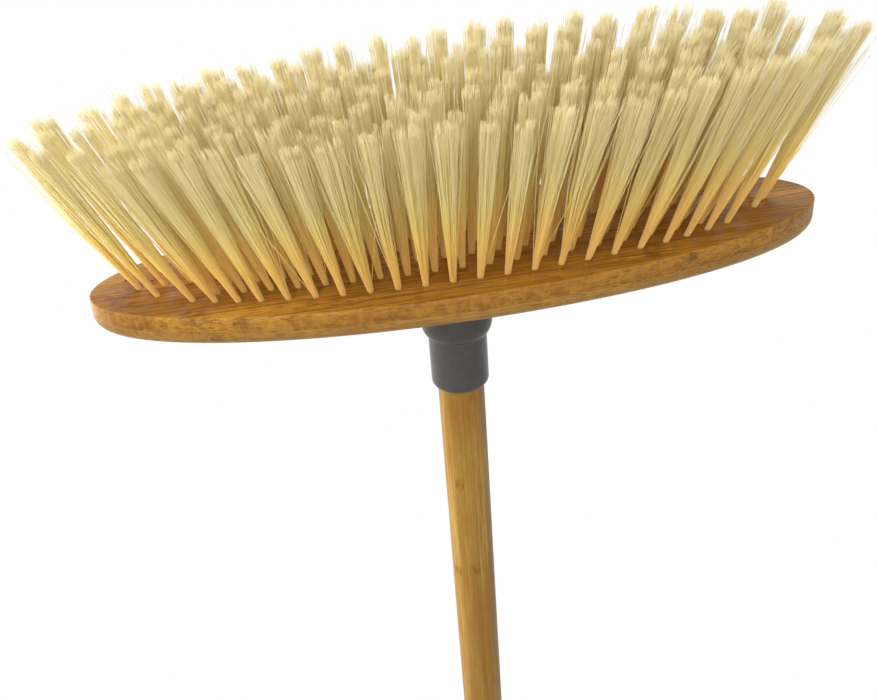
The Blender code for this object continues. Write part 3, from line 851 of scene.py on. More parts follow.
@dataclass
class TuftField:
    """The rows of tufts: where they start on the head, how they lean and how their fibres lie."""

    face_z: float
    hole_depth: float = 0.003
    rows: int = 7
    row_half_length: float = 0.147
    row_half_depth: float = 0.0368
    outer_end_x: float = 0.143
    centre_end_x: float = 0.1506
    nearest_rows: float = 0.0072
    pitch: float = 0.01275
    even_pitch: float = 0.01255
    even_tufts: int = 8
    close_pitch: float = 0.0106
    close_tufts: int = 3
    drilling_shift: float = -0.0015
    tuft_radius: float = 0.0016
    tip_radius: float = 0.0046
    spread_lengthwise: float = 0.039
    spread_sideways: float = 0.0221
    steady_lean_setback: float = 0.012
    fibres: int = 120
    fibre_radius: float = 0.00015
    stations: int = 3
    sides: int = 4
    flags: int = 2
    flag_length: float = 0.005
    flag_radius: float = 0.00008
    flag_splay: float = 0.00015
    flag_unevenness: float = 0.0006
    flag_overlap_share: float = 0.6
    taper_share: float = 0.7
    flag_taper_share: float = 0.6
    tuft_sizes: tuple = (0.88, 1.16)
    lean_scatter: float = 0.0009
    fold_share: float = 0.8
    partings: tuple = (0.04, 0.26)
    parting_turn: float = 0.7
    locks: int = 8
    lock_scatter: float = 0.6
    lock_shift: float = 0.2
    jitter: float = 0.07
    tuft_raggedness: float = 0.005
    lock_raggedness: float = 0.0018
    fibre_raggedness: float = 0.001
    short_share: float = 0.12
    shortfalls: tuple = (0.001, 0.012)
    bow: float = 0.0004
    stray_share: float = 0.18
    stray_spread: float = 0.42
    wild_share: float = 0.014
    wild_spread: float = 1.5
    middle_tone: float = 0.5
    fibre_tones: float = 0.2
    tuft_tones: float = 0.12
    farthest_x: float = 0.1985
    farthest_y: float = 0.0652
    seed: int = 24

    @property
    def outermost(self) -> int:
        """Number of rows on each side of the middle one."""
        return (self.rows - 1) // 2

    def line_y(self, order: int, x: np.ndarray) -> np.ndarray:
        """Return a row's Y: its share of the oval of rows, whose width is a circle's in X."""
        narrowing = np.sqrt(np.maximum(1 - (x / self.row_half_length) ** 2, 0.0))
        return order * self.row_half_depth / self.outermost * narrowing

    def row_x(self, order: int) -> np.ndarray:
        """Return the X of a row's tufts.

        The middle row and the outermost rows are drilled a steady step apart in X, and the
        outermost ones closer together near their ends, with one last tuft by itself. The rows
        between have a steady step along their line and are staggered against each other.

        Args:
            order: Number of rows away from the middle one, negative at -Y.

        Returns:
            One X for each tuft, from -X to +X.
        """
        if order == 0:
            half = np.arange(1, round(self.centre_end_x / self.even_pitch) + 1) * self.even_pitch
            return np.concatenate([-half[::-1], [0.0], half])
        if abs(order) == self.outermost:
            even = (np.arange(self.even_tufts) + 0.5) * self.even_pitch
            close = even[-1] + np.arange(1, self.close_tufts + 1) * self.close_pitch
            half = np.concatenate([even, close, [self.outer_end_x]])
            return np.concatenate([-half[::-1], half]) + self.drilling_shift
        closeness = self.nearest_rows * self.outermost / self.row_half_depth
        end = self.row_half_length * math.sqrt(1 - closeness ** 2)
        x = end * np.sin(np.linspace(-math.pi / 2, math.pi / 2, 400))
        length = np.concatenate(([0.0], np.cumsum(np.hypot(np.diff(x), np.diff(self.line_y(order, x))))))
        count = int(length[-1] // self.pitch) + 1
        if count % 2 == order % 2:
            count -= 1
        along = (np.arange(count) - (count - 1) / 2) * self.pitch + length[-1] / 2
        return np.interp(along, length, x) + self.drilling_shift

    def centres(self, order: int) -> np.ndarray:
        """Return the X and Y of a row's tufts."""
        x = self.row_x(order)
        return np.stack([x, self.line_y(order, x)], -1)

    def lean(self, centres: np.ndarray) -> np.ndarray:
        """Return how far each tuft's tip lies outwards of its root, steady near the head's ends.

        Args:
            centres: X and Y of the tufts.

        Returns:
            The place times the spread over the rows' half length and half depth.
        """
        steady = self.row_half_length - self.steady_lean_setback
        held = np.stack([np.clip(centres[:, 0], -steady, steady), centres[:, 1]], -1)
        return held * np.array([self.spread_lengthwise / self.row_half_length,
                                self.spread_sideways / self.row_half_depth])

    def lock_of(self, disc: np.ndarray, chance: np.random.Generator) -> np.ndarray:
        """Return which lock of its tuft each fibre belongs to: the nearest of a few middles."""
        middles = chance.normal(0, self.lock_scatter, (len(disc), self.locks, 2))
        return np.argmin(np.linalg.norm(disc[:, :, None] - middles[:, None], axis=-1), axis=-1)

    def tip_places(self, disc: np.ndarray, lock: np.ndarray, chance: np.random.Generator) -> np.ndarray:
        """Return where fibres end in the tip's disc, in tip radii.

        A tuft is a bundle folded over a staple, so its two halves part a little: a place is a share
        of the root's place, plus or minus a step across the parting, plus its lock's shift and a
        jitter. Some fibres stray, and a very few run wild across their neighbours.

        Args:
            disc: Places in the root's disc by tuft and fibre.
            lock: Each fibre's lock.
            chance: Seeded generator.

        Returns:
            Places by tuft and fibre.
        """
        tufts = len(disc)
        heading = chance.normal(0, self.parting_turn, tufts)
        parting = np.stack([np.cos(heading), np.sin(heading)], -1)
        side = np.sign(np.einsum("tfk,tk->tf", disc, parting))
        step = chance.uniform(*self.partings, (tufts, 1, 1))
        shifts = chance.normal(0, self.lock_shift, (tufts, self.locks, 2))
        place = disc * self.fold_share + side[..., None] * parting[:, None] * step
        place = place + np.take_along_axis(shifts, lock[..., None], axis=1)
        place = place + chance.normal(0, self.jitter, disc.shape)
        draw = chance.random((*disc.shape[:2], 1))
        strays = np.where(draw < self.stray_share, self.stray_spread, 0.0)
        spread = np.where(draw < self.wild_share, self.wild_spread, strays)
        return place + spread * chance.normal(0, 1.0, disc.shape)

    def tip_heights(self, lock: np.ndarray, chance: np.random.Generator) -> np.ndarray:
        """Return the height of each fibre's tip.

        It is the tuft's own cut, plus the cut of the lock that the fibre belongs to, plus a
        little for the fibre itself, and a few fibres are well short.

        Args:
            lock: Each fibre's lock by tuft and fibre.
            chance: Seeded generator.

        Returns:
            Heights by tuft and fibre.
        """
        tufts = len(lock)
        cut = chance.uniform(0, self.tuft_raggedness, (tufts, 1)) ** 2 / self.tuft_raggedness
        lock_cut = np.abs(chance.normal(0, self.lock_raggedness, (tufts, self.locks)))
        own = np.abs(chance.normal(0, self.fibre_raggedness, lock.shape))
        short = np.where(chance.random(lock.shape) < self.short_share,
                         chance.uniform(*self.shortfalls, lock.shape), 0.0)
        return cut + np.take_along_axis(lock_cut, lock, axis=1) + own + short

    def fibre_paths(self, centres: np.ndarray, chance: np.random.Generator) -> tuple:
        """Lay out the fibres of many tufts.

        Roots fill a disc in a sunflower pattern. The path to a fibre's tip is a straight line plus
        a bow of 4 u (1 - u).

        Args:
            centres: X and Y of the tufts.
            chance: Seeded generator.

        Returns:
            Paths and their tones.
        """
        tufts = len(centres)
        index = np.arange(self.fibres)
        turn = chance.uniform(0, 2 * math.pi, (tufts, 1))
        angle = index[None] * GOLDEN_ANGLE + turn
        reach = np.sqrt((index + 0.5) / self.fibres)[None]
        disc = np.stack([reach * np.cos(angle), reach * np.sin(angle)], -1)
        root = centres[:, None] + disc * (self.tuft_radius - self.fibre_radius)
        width = self.tip_radius * chance.uniform(*self.tuft_sizes, (tufts, 1, 1))
        tuft_lean = self.lean(centres) + chance.normal(0, self.lean_scatter, centres.shape)
        lock = self.lock_of(disc, chance)
        tip = centres[:, None] + tuft_lean[:, None] + self.tip_places(disc, lock, chance) * width
        farthest = np.array([self.farthest_x, self.farthest_y])
        tip = np.clip(tip, -farthest, farthest)
        tip_z = self.tip_heights(lock, chance)[..., None]

        root = at_height(root, self.face_z)
        tip = np.concatenate([tip, tip_z], -1)
        start = root - (tip - root) * (self.hole_depth / self.face_z)
        share = np.linspace(0, 1, self.stations)[None, None, :, None]
        sway = at_height(chance.normal(0, self.bow, (tufts, self.fibres, 1, 2))
                         + chance.normal(0, self.bow, (tufts, 1, 1, 2)), 0.0)
        paths = start[:, :, None] + (tip - start)[:, :, None] * share + sway * 4 * share * (1 - share)
        tone = self.middle_tone + chance.normal(0, self.fibre_tones, (tufts, self.fibres))
        tone = tone + chance.normal(0, self.tuft_tones, (tufts, 1))
        return paths.reshape(-1, self.stations, 3), np.clip(tone, 0, 1).reshape(-1)

    def fibre_surface(self, paths: np.ndarray, tone: np.ndarray,
                      chance: np.random.Generator) -> Surface:
        """Give the fibres their body and split their last stretch into fine flags.

        Args:
            paths: Fibre paths by stations.
            tone: One tone for each fibre.
            chance: Seeded generator.

        Returns:
            One surface of closed tubes.
        """
        count = len(paths)
        length = np.linalg.norm(paths[:, -1] - paths[:, 0], axis=1)[:, None]
        ahead = paths[:, -1] - paths[:, -2]
        ahead /= np.linalg.norm(ahead, axis=1, keepdims=True)
        body = paths.copy()
        body[:, -1] = paths[:, -1] - ahead * self.flag_length * self.flag_overlap_share
        radii = np.full((count, self.stations), self.fibre_radius)
        radii[:, -1] *= self.taper_share
        along = np.repeat(np.linspace(0, 1, self.stations)[None], count, 0)
        along[:, -1:] = 1 - self.flag_length * self.flag_overlap_share / length
        solid = tubes(body, radii, self.sides, {"along": along,
                                                "tone": np.repeat(tone[:, None], self.stations, 1)})

        base = np.repeat(paths[:, -1] - ahead * self.flag_length, self.flags, 0)
        end = np.repeat(paths[:, -1], self.flags, 0)
        end = end + np.concatenate([chance.normal(0, self.flag_splay, (len(end), 2)),
                                    chance.normal(0, self.flag_unevenness, (len(end), 1))], -1)
        flags = np.stack([base, end], 1)
        thin = np.repeat(np.array([[1.0, self.flag_taper_share]]) * self.flag_radius, len(end), 0)
        reach = np.stack([1 - self.flag_length / length[:, 0], np.ones(count)], -1)
        pale = np.repeat(np.repeat(tone, self.flags)[:, None], 2, 1)
        wisps = tubes(flags, thin, 3, {"along": np.repeat(reach, self.flags, 0), "tone": pale})
        return Surface.merge([solid, wisps])

    def build_row(self, number: int, material: Material) -> Object:
        """Build one row of tufts.

        Args:
            number: The row's number, 1 at -Y.
            material: The fibres' finish.

        Returns:
            The row's piece.
        """
        order = number - 1 - self.outermost
        chance = np.random.default_rng(self.seed + number)
        paths, tone = self.fibre_paths(self.centres(order), chance)
        surface = self.fibre_surface(paths, tone, chance)
        surface.points[:, 2] = np.maximum(surface.points[:, 2], 0.0)
        return surface.to_object(f"bristle_tufts_{number}", material, 60.0)

    def build(self, finishes: Finishes) -> list:
        """Build every row, each in place of its solid on the head."""
        return [dress(self.build_row(number, finishes.fibre), "head",
                      f"bristle_row_{number}") for number in range(1, self.rows + 1)]


def dress(piece: Object, body: str, node: str) -> Object:
    """Let a piece ride on a body and stand for its solid.

    Args:
        piece: The piece.
        body: The body that it rides on.
        node: The solid that it replaces.

    Returns:
        The same piece.
    """
    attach(piece, body)
    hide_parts(node)
    return piece


# Head

@dataclass
class Head:
    """The two oval plies, drilled for the tufts and the socket's screws."""

    tufts: TuftField
    face_z: float
    seam_z: float
    back_z: float
    half_length: float = 0.175
    half_width: float = 0.0525
    face_round: float = 0.0012
    back_round: float = 0.0064
    seam_chamfer: float = 0.00025
    hole_radius: float = 0.0018
    hole_chamfer: float = 0.0002
    hole_sides: int = 20
    pin_radius: float = 0.00075
    pin_depth: float = 0.005
    pins: tuple = ((0.1577, 0.0091), (0.1446, 0.0052))
    screw_end_z: float = 0.0885
    inside_share: float = 0.97
    segments: int = 256

    def oval(self, levels: np.ndarray) -> Surface:
        """Carry the oval round inset and height pairs: ((a - inset) cos t, (b - inset) sin t, z).

        Args:
            levels: Inset and height pairs, as the wall runs.

        Returns:
            The wall.
        """
        rings = np.stack([circle(self.segments, self.half_length - inset, self.half_width - inset)
                          for inset in levels[:, 0]])
        points = at_height(rings, levels[:, 1][:, None, None])
        return Surface(points.reshape(-1, 3), [grid_quads(len(levels), self.segments)],
                       {"edge": np.repeat(edge_share(levels), self.segments)})

    def face(self, inset: float, z: float, holes: list, up: bool) -> Surface:
        """Fill the oval at one height, leaving round holes open.

        Args:
            inset: The oval's inset.
            z: Height of the face.
            holes: Centre X, centre Y and radius of each hole.
            up: Whether the face looks up.

        Returns:
            Triangles that meet the oval's ring and every hole's ring.
        """
        rings = [circle(self.segments, self.half_length - inset, self.half_width - inset)]
        rings += [circle(self.hole_sides, radius, centre=(x, y)) for x, y, radius in holes]
        sizes = [len(ring) for ring in rings]
        starts = np.concatenate(([0], np.cumsum(sizes)[:-1]))
        edges = np.concatenate([start + np.stack([np.arange(size), (np.arange(size) + 1) % size], -1)
                                for start, size in zip(starts, sizes)])
        flat = np.concatenate(rings)
        made = delaunay_2d_cdt(flat.tolist(), edges.tolist(), [], 1, WELD)
        points = np.array([tuple(point) for point in made[0]])
        triangles = np.array(made[2])
        middle = points[triangles].mean(axis=1)
        inside = np.zeros(len(triangles), bool)
        for x, y, radius in holes:
            inside |= np.hypot(middle[:, 0] - x, middle[:, 1] - y) < radius * self.inside_share
        triangles = triangles[~inside]
        a, b, c = (points[triangles[:, corner]] for corner in range(3))
        upward = (b - a)[:, 0] * (c - a)[:, 1] - (b - a)[:, 1] * (c - a)[:, 0] > 0
        triangles[upward != up] = triangles[upward != up][:, ::-1]
        return Surface(at_height(points, z), [triangles], {"edge": np.zeros(len(points))})

    def hole(self, levels: list, centres: list, edge: float = 0.0, through: bool = False) -> Surface:
        """Line a hole: rings of radius and height about its own centre line.

        Args:
            levels: Radius and height pairs from the mouth inwards.
            centres: X and Y of the ring at each level.
            edge: The edge attribute below the mouth; -1 paints shade onto the hole's walls.
            through: Whether the hole has no floor.

        Returns:
            The wall and the flat floor, seen from inside the hole.
        """
        rings = [at_height(circle(self.hole_sides, radius, centre=centre), z)
                 for (radius, z), centre in zip(levels, centres)]
        floor = (len(rings) - 1) * self.hole_sides + np.arange(self.hole_sides)
        step = 1 if levels[0][1] > levels[-1][1] else -1
        faces = [grid_quads(len(rings), self.hole_sides)[:, ::step]]
        faces += [] if through else [floor[None, ::step]]
        points = np.concatenate(rings)
        below_mouth = np.arange(len(points)) >= self.hole_sides
        return Surface(points, faces, {"edge": np.where(below_mouth, edge, 0.0)})

    def tuft_holes(self) -> list:
        """Return the X, Y and lean of every tuft hole."""
        centres = np.concatenate([self.tufts.centres(order) for order in
                                  range(-self.tufts.outermost, self.tufts.outermost + 1)])
        slope = self.tufts.lean(centres) / self.face_z
        return list(zip(centres.tolist(), slope.tolist()))

    def bristle_ply(self, material: Material) -> Object:
        """Build the ply that holds the tufts, with its slanting tuft holes and two pin holes.

        Args:
            material: Its finish.

        Returns:
            The piece.
        """
        depth = self.tufts.hole_depth
        face_arc = arc((self.face_round, self.face_z + self.face_round),
                       (self.face_round, self.face_round), -90, -180, 5)
        seam = np.array([[0.0, self.seam_z - self.seam_chamfer], [self.seam_chamfer, self.seam_z]])
        outline = self.oval(np.concatenate([face_arc, seam]))
        mouths = [(x, y, self.hole_radius + self.hole_chamfer) for (x, y), slope in self.tuft_holes()]
        mouths += [(x, y, self.pin_radius) for x, y in self.pins]
        parts = [outline, self.face(self.face_round, self.face_z, mouths, up=False)]
        for (x, y), (lean_x, lean_y) in self.tuft_holes():
            drops = [0.0, self.hole_chamfer, depth]
            radii = [self.hole_radius + self.hole_chamfer, self.hole_radius, self.hole_radius]
            levels = [(radius, self.face_z + drop) for radius, drop in zip(radii, drops)]
            parts.append(self.hole(levels, [(x - lean_x * drop, y - lean_y * drop) for drop in drops]))
        for x, y in self.pins:
            levels = [(self.pin_radius, self.face_z + drop) for drop in
                      (0.0, self.hole_chamfer, self.pin_depth)]
            # Edge -1 paints shade onto the pin holes' walls.
            parts.append(self.hole(levels, [(x, y)] * 3, edge=-1.0))
        parts.append(self.face(self.seam_chamfer, self.seam_z, screw_holes(), up=True))
        for x, y, radius in screw_holes():
            parts.append(self.hole([(radius, self.seam_z), (radius, self.screw_end_z)], [(x, y)] * 2))
        return Surface.merge(parts).to_object("bristle_ply_drilled", material, 40.0, weld=True)

    def handle_ply(self, material: Material) -> Object:
        """Build the ply with the rounded back edge, with the three screw holes right through.

        Args:
            material: Its finish.

        Returns:
            The piece.
        """
        back_arc = arc((self.back_round, self.back_z - self.back_round),
                       (self.back_round, self.back_round), 180, 90, 12)
        low = self.seam_z + SEAM_GAP
        seam = np.array([[self.seam_chamfer, low], [0.0, low + self.seam_chamfer]])
        parts = [self.oval(np.concatenate([seam, back_arc])),
                 self.face(self.seam_chamfer, low, screw_holes(), up=False),
                 self.face(self.back_round, self.back_z, screw_holes(), up=True)]
        for x, y, radius in screw_holes():
            parts.append(self.hole([(radius, low), (radius, self.back_z)], [(x, y)] * 2, through=True))
        return Surface.merge(parts).to_object("handle_ply_rounded", material, 40.0, weld=True)

    def build(self, finishes: Finishes) -> list:
        """Build both plies in place of their solids."""
        return [dress(self.bristle_ply(finishes.face_bamboo), "head", "bristle_ply"),
                dress(self.handle_ply(finishes.back_bamboo), "head", "handle_ply")]


# Collar

@dataclass
class Collar:
    """The moulded socket on the head and the nut that screws into it."""

    socket_z: float
    socket_top_z: float
    shoulder_z: float
    nut_top_z: float
    socket_radius: float = 0.018
    socket_floor: float = 0.003
    key_depth: float = 0.0072
    key_flat_radius: float = 0.0103
    rim_radius: float = 0.01515
    rim_edge: float = 0.00012
    rim_share: float = 0.3
    shoulder_height: float = 0.0075
    foot_round: float = 0.0006
    bore_radius: float = 0.015
    nut_radius: float = 0.0147
    nut_root_radius: float = 0.01375
    nut_bore_radius: float = 0.0123
    lip_round: float = 0.0024
    bead_radius: float = 0.0154
    bead_height: float = 0.0008
    pitch: float = 0.004
    thread_depth: float = 0.00095
    crest_width: float = 0.0012
    flank_width: float = 0.0005
    thread_lead: float = 0.0008
    wall_step: float = 0.00022
    fine_chamfer: float = 0.0002
    entry_chamfer: float = 0.0003
    bead_chamfer: float = 0.00012
    neck_round: float = 0.0008
    neck_drop: float = 0.0009
    neck_gap: float = 0.0006
    screw_head_radius: float = 0.0035
    countersink: float = 0.00175
    countersink_top: float = 0.0003
    screw_hole_sides: int = 24
    overrun: float = 0.001
    start_angle: float = math.pi / 32
    segments: int = 128

    def thread(self, shift: float, wall_radius: float, depth: float) -> Thread:
        """Return the thread on a wall, set out from the nut's first turn.

        Args:
            shift: Height of the ridge's middle above the nut's first turn.
            wall_radius: Radius of the wall that carries it.
            depth: Height of the ridge, negative where it stands inwards.

        Returns:
            The thread.
        """
        half_base = self.crest_width / 2 + self.flank_width
        first = self.shoulder_z + self.thread_lead + half_base
        start = first + shift - self.pitch * self.start_angle / (2 * math.pi)
        low = first + shift - half_base
        high = self.socket_top_z - self.thread_lead - (0.0 if shift else half_base)
        return Thread(start, low, high, self.pitch, depth, self.crest_width, self.flank_width,
                      wall_radius)

    def stacked(self, radius: float, low: float, high: float) -> np.ndarray:
        """Return a straight wall with points close enough together to carry the thread."""
        steps = int(abs(high - low) / self.wall_step)
        return np.stack([np.full(steps + 1, radius), np.linspace(low, high, steps + 1)], -1)

    def socket(self, material: Material) -> Object:
        """Build the socket: foot, rounded shoulder, threaded bore, ledge and six-sided keyway.

        Args:
            material: Its finish.

        Returns:
            The piece.
        """
        ledge_z = self.socket_z + self.socket_floor + self.key_depth
        foot = arc((self.socket_radius - self.foot_round, self.socket_z + self.foot_round),
                   (self.foot_round, self.foot_round), -90, 0, 4)
        rim = self.rim_radius - self.rim_edge
        shoulder = arc((rim, self.socket_top_z - self.shoulder_height),
                       (self.socket_radius - rim, self.shoulder_height - self.rim_edge), 0, 84, 18)
        edge = np.array([[rim + self.rim_edge * self.rim_share, self.socket_top_z]])
        bore = self.stacked(self.bore_radius, self.socket_top_z, ledge_z)
        bore = np.concatenate([[[self.bore_radius - self.fine_chamfer, self.socket_top_z]], bore[1:]])
        profile = np.concatenate([[[0.0, self.socket_z]], foot, shoulder, edge, bore,
                                  [[0.0, ledge_z]]])
        surface = revolved(profile, self.segments,
                           ridge=self.thread(self.pitch / 2, self.bore_radius, -self.thread_depth))
        piece = surface.to_object("socket_moulded", material, 30.0, weld=True)
        cut(piece, self.keyway(ledge_z))
        for number, (x, y, radius) in enumerate(screw_holes(), start=1):
            cut(piece, self.screw_cutter((x, y), radius, number))
        return piece

    def keyway(self, ledge_z: float) -> Object:
        """Return the cutter for the six-sided keyway under the ledge.

        Args:
            ledge_z: Height of the ledge.

        Returns:
            The cutter.
        """
        corner = self.key_flat_radius / math.cos(math.pi / 6)
        low = self.socket_z + self.socket_floor
        high = ledge_z + self.overrun
        profile = np.array([[0.0, low], [corner, low], [corner, high], [0.0, high]])
        surface = revolved(profile, 6, edges=False)
        return surface.to_object("keyway cutter", bpy.data.materials[0], weld=True)

    def screw_cutter(self, place: tuple, radius: float, number: int) -> Object:
        """Return the cutter for one countersunk screw hole in the socket's floor.

        Args:
            place: X and Y of the hole.
            radius: The hole's radius.
            number: The screw's number.

        Returns:
            The cutter.
        """
        top = self.socket_z + self.socket_floor
        head = self.screw_head_radius
        low = self.socket_z - self.overrun
        profile = np.array([[0.0, low], [radius, low], [radius, top - self.countersink],
                            [head, top - self.countersink_top],
                            [head, top + self.overrun], [0.0, top + self.overrun]])
        surface = revolved(profile, self.screw_hole_sides, edges=False)
        surface.points[:, :2] += place
        return surface.to_object(f"screw hole cutter {number}", bpy.data.materials[0], weld=True)

    def nut(self, material: Material) -> Object:
        """Build the hollow nut: threaded shank, bead at the crease, plain sleeve, rounded lip.

        Args:
            material: Its finish.

        Returns:
            The piece.
        """
        sleeve_z = self.socket_top_z - self.thread_lead
        shank = self.stacked(self.nut_root_radius, self.shoulder_z + self.entry_chamfer, sleeve_z)
        start = np.array([[self.nut_root_radius - self.entry_chamfer, self.shoulder_z]])
        crease_z = self.socket_top_z + SEAM_GAP
        bead = np.array([[self.nut_radius, sleeve_z], [self.nut_radius, crease_z],
                         [self.bead_radius - self.bead_chamfer, crease_z],
                         [self.bead_radius, crease_z + self.bead_chamfer]])
        fall = arc((self.nut_radius + self.neck_round, crease_z + self.bead_height + self.neck_gap),
                   (self.neck_round, self.neck_drop), 250, 180, 6)
        lip = arc((self.nut_radius - self.lip_round, self.nut_top_z - self.lip_round),
                  (self.lip_round, self.lip_round), 0, 90, 10)
        inner = np.array([[self.nut_bore_radius + self.fine_chamfer, self.nut_top_z],
                          [self.nut_bore_radius, self.nut_top_z - self.fine_chamfer],
                          [self.nut_bore_radius, self.shoulder_z]])
        profile = np.concatenate([start, shank, bead, fall, lip, inner])
        surface = revolved(profile, self.segments, closed=True,
                           ridge=self.thread(0.0, self.nut_root_radius, self.thread_depth))
        return surface.to_object("collar_sleeve", material, 30.0)

    def build(self, finishes: Finishes) -> list:
        """Build the socket on the head and the nut on the collar body."""
        return [dress(self.socket(finishes.plastic), "head", "socket"),
                dress(self.nut(finishes.plastic), "collar", "collar_nut")]


def cut(piece: Object, tool: Object, operation: str = "DIFFERENCE") -> None:
    """Apply a Boolean of the tool to the piece and remove the tool.

    Args:
        piece: The piece, whose mesh is replaced.
        tool: The tool.
        operation: The Boolean's kind.
    """
    modifier = piece.modifiers.new("shape", "BOOLEAN")
    modifier.operation = operation
    modifier.solver = "EXACT"
    modifier.object = tool
    graph = bpy.context.evaluated_depsgraph_get()
    made = bpy.data.meshes.new_from_object(piece.evaluated_get(graph))
    piece.modifiers.clear()
    piece.data = made
    bpy.data.objects.remove(tool, do_unlink=True)


# Handle

@dataclass
class Handle:
    """The turned bamboo pole, its hidden end fittings and the cap at its top."""

    spigot_z: float
    shoulder_z: float
    top_z: float
    radius: float = 0.012
    spigot_radius: float = 0.008
    chamfer: float = 0.001
    ripple: float = 0.00004
    waves: tuple = ((3, 9), (5, -21))
    wall_rings: int = 90
    screw_hole_top: float = 0.0208
    cap_clearance: float = 0.0003
    cap_wall: float = 0.0012
    cap_sleeve: float = 0.028
    cap_top: float = 0.003
    cap_round: float = 0.0025
    cap_lip: float = 0.0005
    eye_radius: float = 0.01
    eye_hole_radius: float = 0.0048
    eye_thickness: float = 0.006
    eye_rise: float = 0.0085
    eye_squareness: float = 0.55
    eye_section_sides: int = 24
    eye_segments: int = 96
    segments: int = 128

    def pole(self, material: Material) -> Object:
        """Build the pole, which is round to a few hundredths of a millimetre.

        The radius carries a slow ripple, cos(3 a + 9 z) and cos(5 a - 21 z), as hand-sanded
        bamboo has. Each wave is a pair: turns round the pole and radians a metre along it.

        Args:
            material: Its finish.

        Returns:
            The piece.
        """
        hole = np.array([[0.0, self.spigot_z + self.screw_hole_top],
                         [SCREW_HOLE_RADIUS, self.spigot_z + self.screw_hole_top],
                         [SCREW_HOLE_RADIUS, self.spigot_z], [self.spigot_radius, self.spigot_z],
                         [self.spigot_radius, self.shoulder_z], [self.radius, self.shoulder_z]])
        heights = np.linspace(self.shoulder_z, self.top_z - self.chamfer, self.wall_rings)[1:]
        wall = np.stack([np.full(len(heights), self.radius), heights], -1)
        end = np.array([[self.radius - self.chamfer, self.top_z], [0.0, self.top_z]])
        profile = np.concatenate([hole, wall, end])
        surface = revolved(profile, self.segments)
        x, y, z = surface.points.T
        angle = np.arctan2(y, x)
        waves = sum(np.cos(turns * angle + along * z) - 1 for turns, along in self.waves)
        ripple = self.ripple * waves
        on_wall = np.hypot(x, y) > self.radius - WELD
        scale = 1 + ripple * on_wall / self.radius
        surface.points[:, :2] *= scale[:, None]
        return surface.to_object("handle_pole", material, 40.0, weld=True)

    def cap(self, material: Material) -> Object:
        """Build the cap: a sleeve with a rounded top that carries an upright ring.

        Args:
            material: Its finish.

        Returns:
            The piece.
        """
        bore = self.radius + self.cap_clearance
        outside = bore + self.cap_wall
        ceiling = self.top_z + self.cap_clearance
        top = ceiling + self.cap_top
        mouth = self.top_z - self.cap_sleeve
        lip = arc((outside - self.cap_lip, mouth + self.cap_lip), (self.cap_lip, self.cap_lip), -90, 0, 4)
        crown = arc((outside - self.cap_round, top - self.cap_round),
                    (self.cap_round, self.cap_round), 0, 90, 10)
        profile = np.concatenate([[[0.0, ceiling], [bore, ceiling], [bore, mouth]], lip, crown,
                                  [[0.0, top]]])
        piece = revolved(profile, self.segments).to_object("hanging_cap_moulded", material, 35.0,
                                                           weld=True)
        cut(piece, self.eye(top + self.eye_rise, material), "UNION")
        piece.data.shade_smooth()
        piece.data.set_sharp_from_angle(angle=math.radians(35))
        return piece

    def eye(self, middle_z: float, material: Material) -> Object:
        """Return the hanging ring: a rounded bar section turned about the Y axis.

        Args:
            middle_z: Height of the ring's middle.
            material: Its finish.

        Returns:
            The ring.
        """
        middle = (self.eye_radius + self.eye_hole_radius) / 2
        half = (self.eye_radius - self.eye_hole_radius) / 2
        unit = circle(self.eye_section_sides, 1.0)
        section = np.sign(unit) * np.abs(unit) ** self.eye_squareness
        profile = section * np.array([half, self.eye_thickness / 2]) + np.array([middle, 0.0])
        ring = revolved(profile, self.eye_segments, closed=True, edges=False)
        x, y, z = ring.points.T
        ring.points = np.stack([x, -z, y + middle_z], -1)
        return ring.to_object("eye ring", material, 60.0)

    def build(self, finishes: Finishes) -> list:
        """Build the pole and the cap on the handle body, in place of their solids."""
        return [dress(self.pole(finishes.handle_bamboo), "handle", "handle"),
                dress(self.cap(finishes.plastic), "handle", "hanging_cap")]


def dress_kept_nodes(finishes: Finishes) -> list:
    """Give the solids that stay, all of them hidden fittings, their finish.

    Args:
        finishes: The broom's finishes.

    Returns:
        The solids.
    """
    kept = {"handle_end_bush": finishes.plastic, "bush_screw": finishes.steel}
    kept |= {f"socket_screw_{number}": finishes.steel for number in (1, 2, 3)}
    for name, material in kept.items():
        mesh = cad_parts[name].data
        mesh.materials.clear()
        mesh.materials.append(material)
    return [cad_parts[name] for name in kept]


# Studio

def placed(data: ID, spot: np.ndarray, axes: list) -> Object:
    """Put a camera or lamp at a spot, with its axes to the right, up and back.

    Args:
        data: The camera or lamp.
        spot: Where it stands.
        axes: Its axes, to the right, up and back.

    Returns:
        The linked object.
    """
    matrix = np.eye(4)
    matrix[:3, :3] = np.stack(axes, -1)
    matrix[:3, 3] = spot
    piece = bpy.data.objects.new(data.name, data)
    piece.matrix_world = Matrix(matrix.tolist())
    bpy.context.scene.collection.objects.link(piece)
    return piece


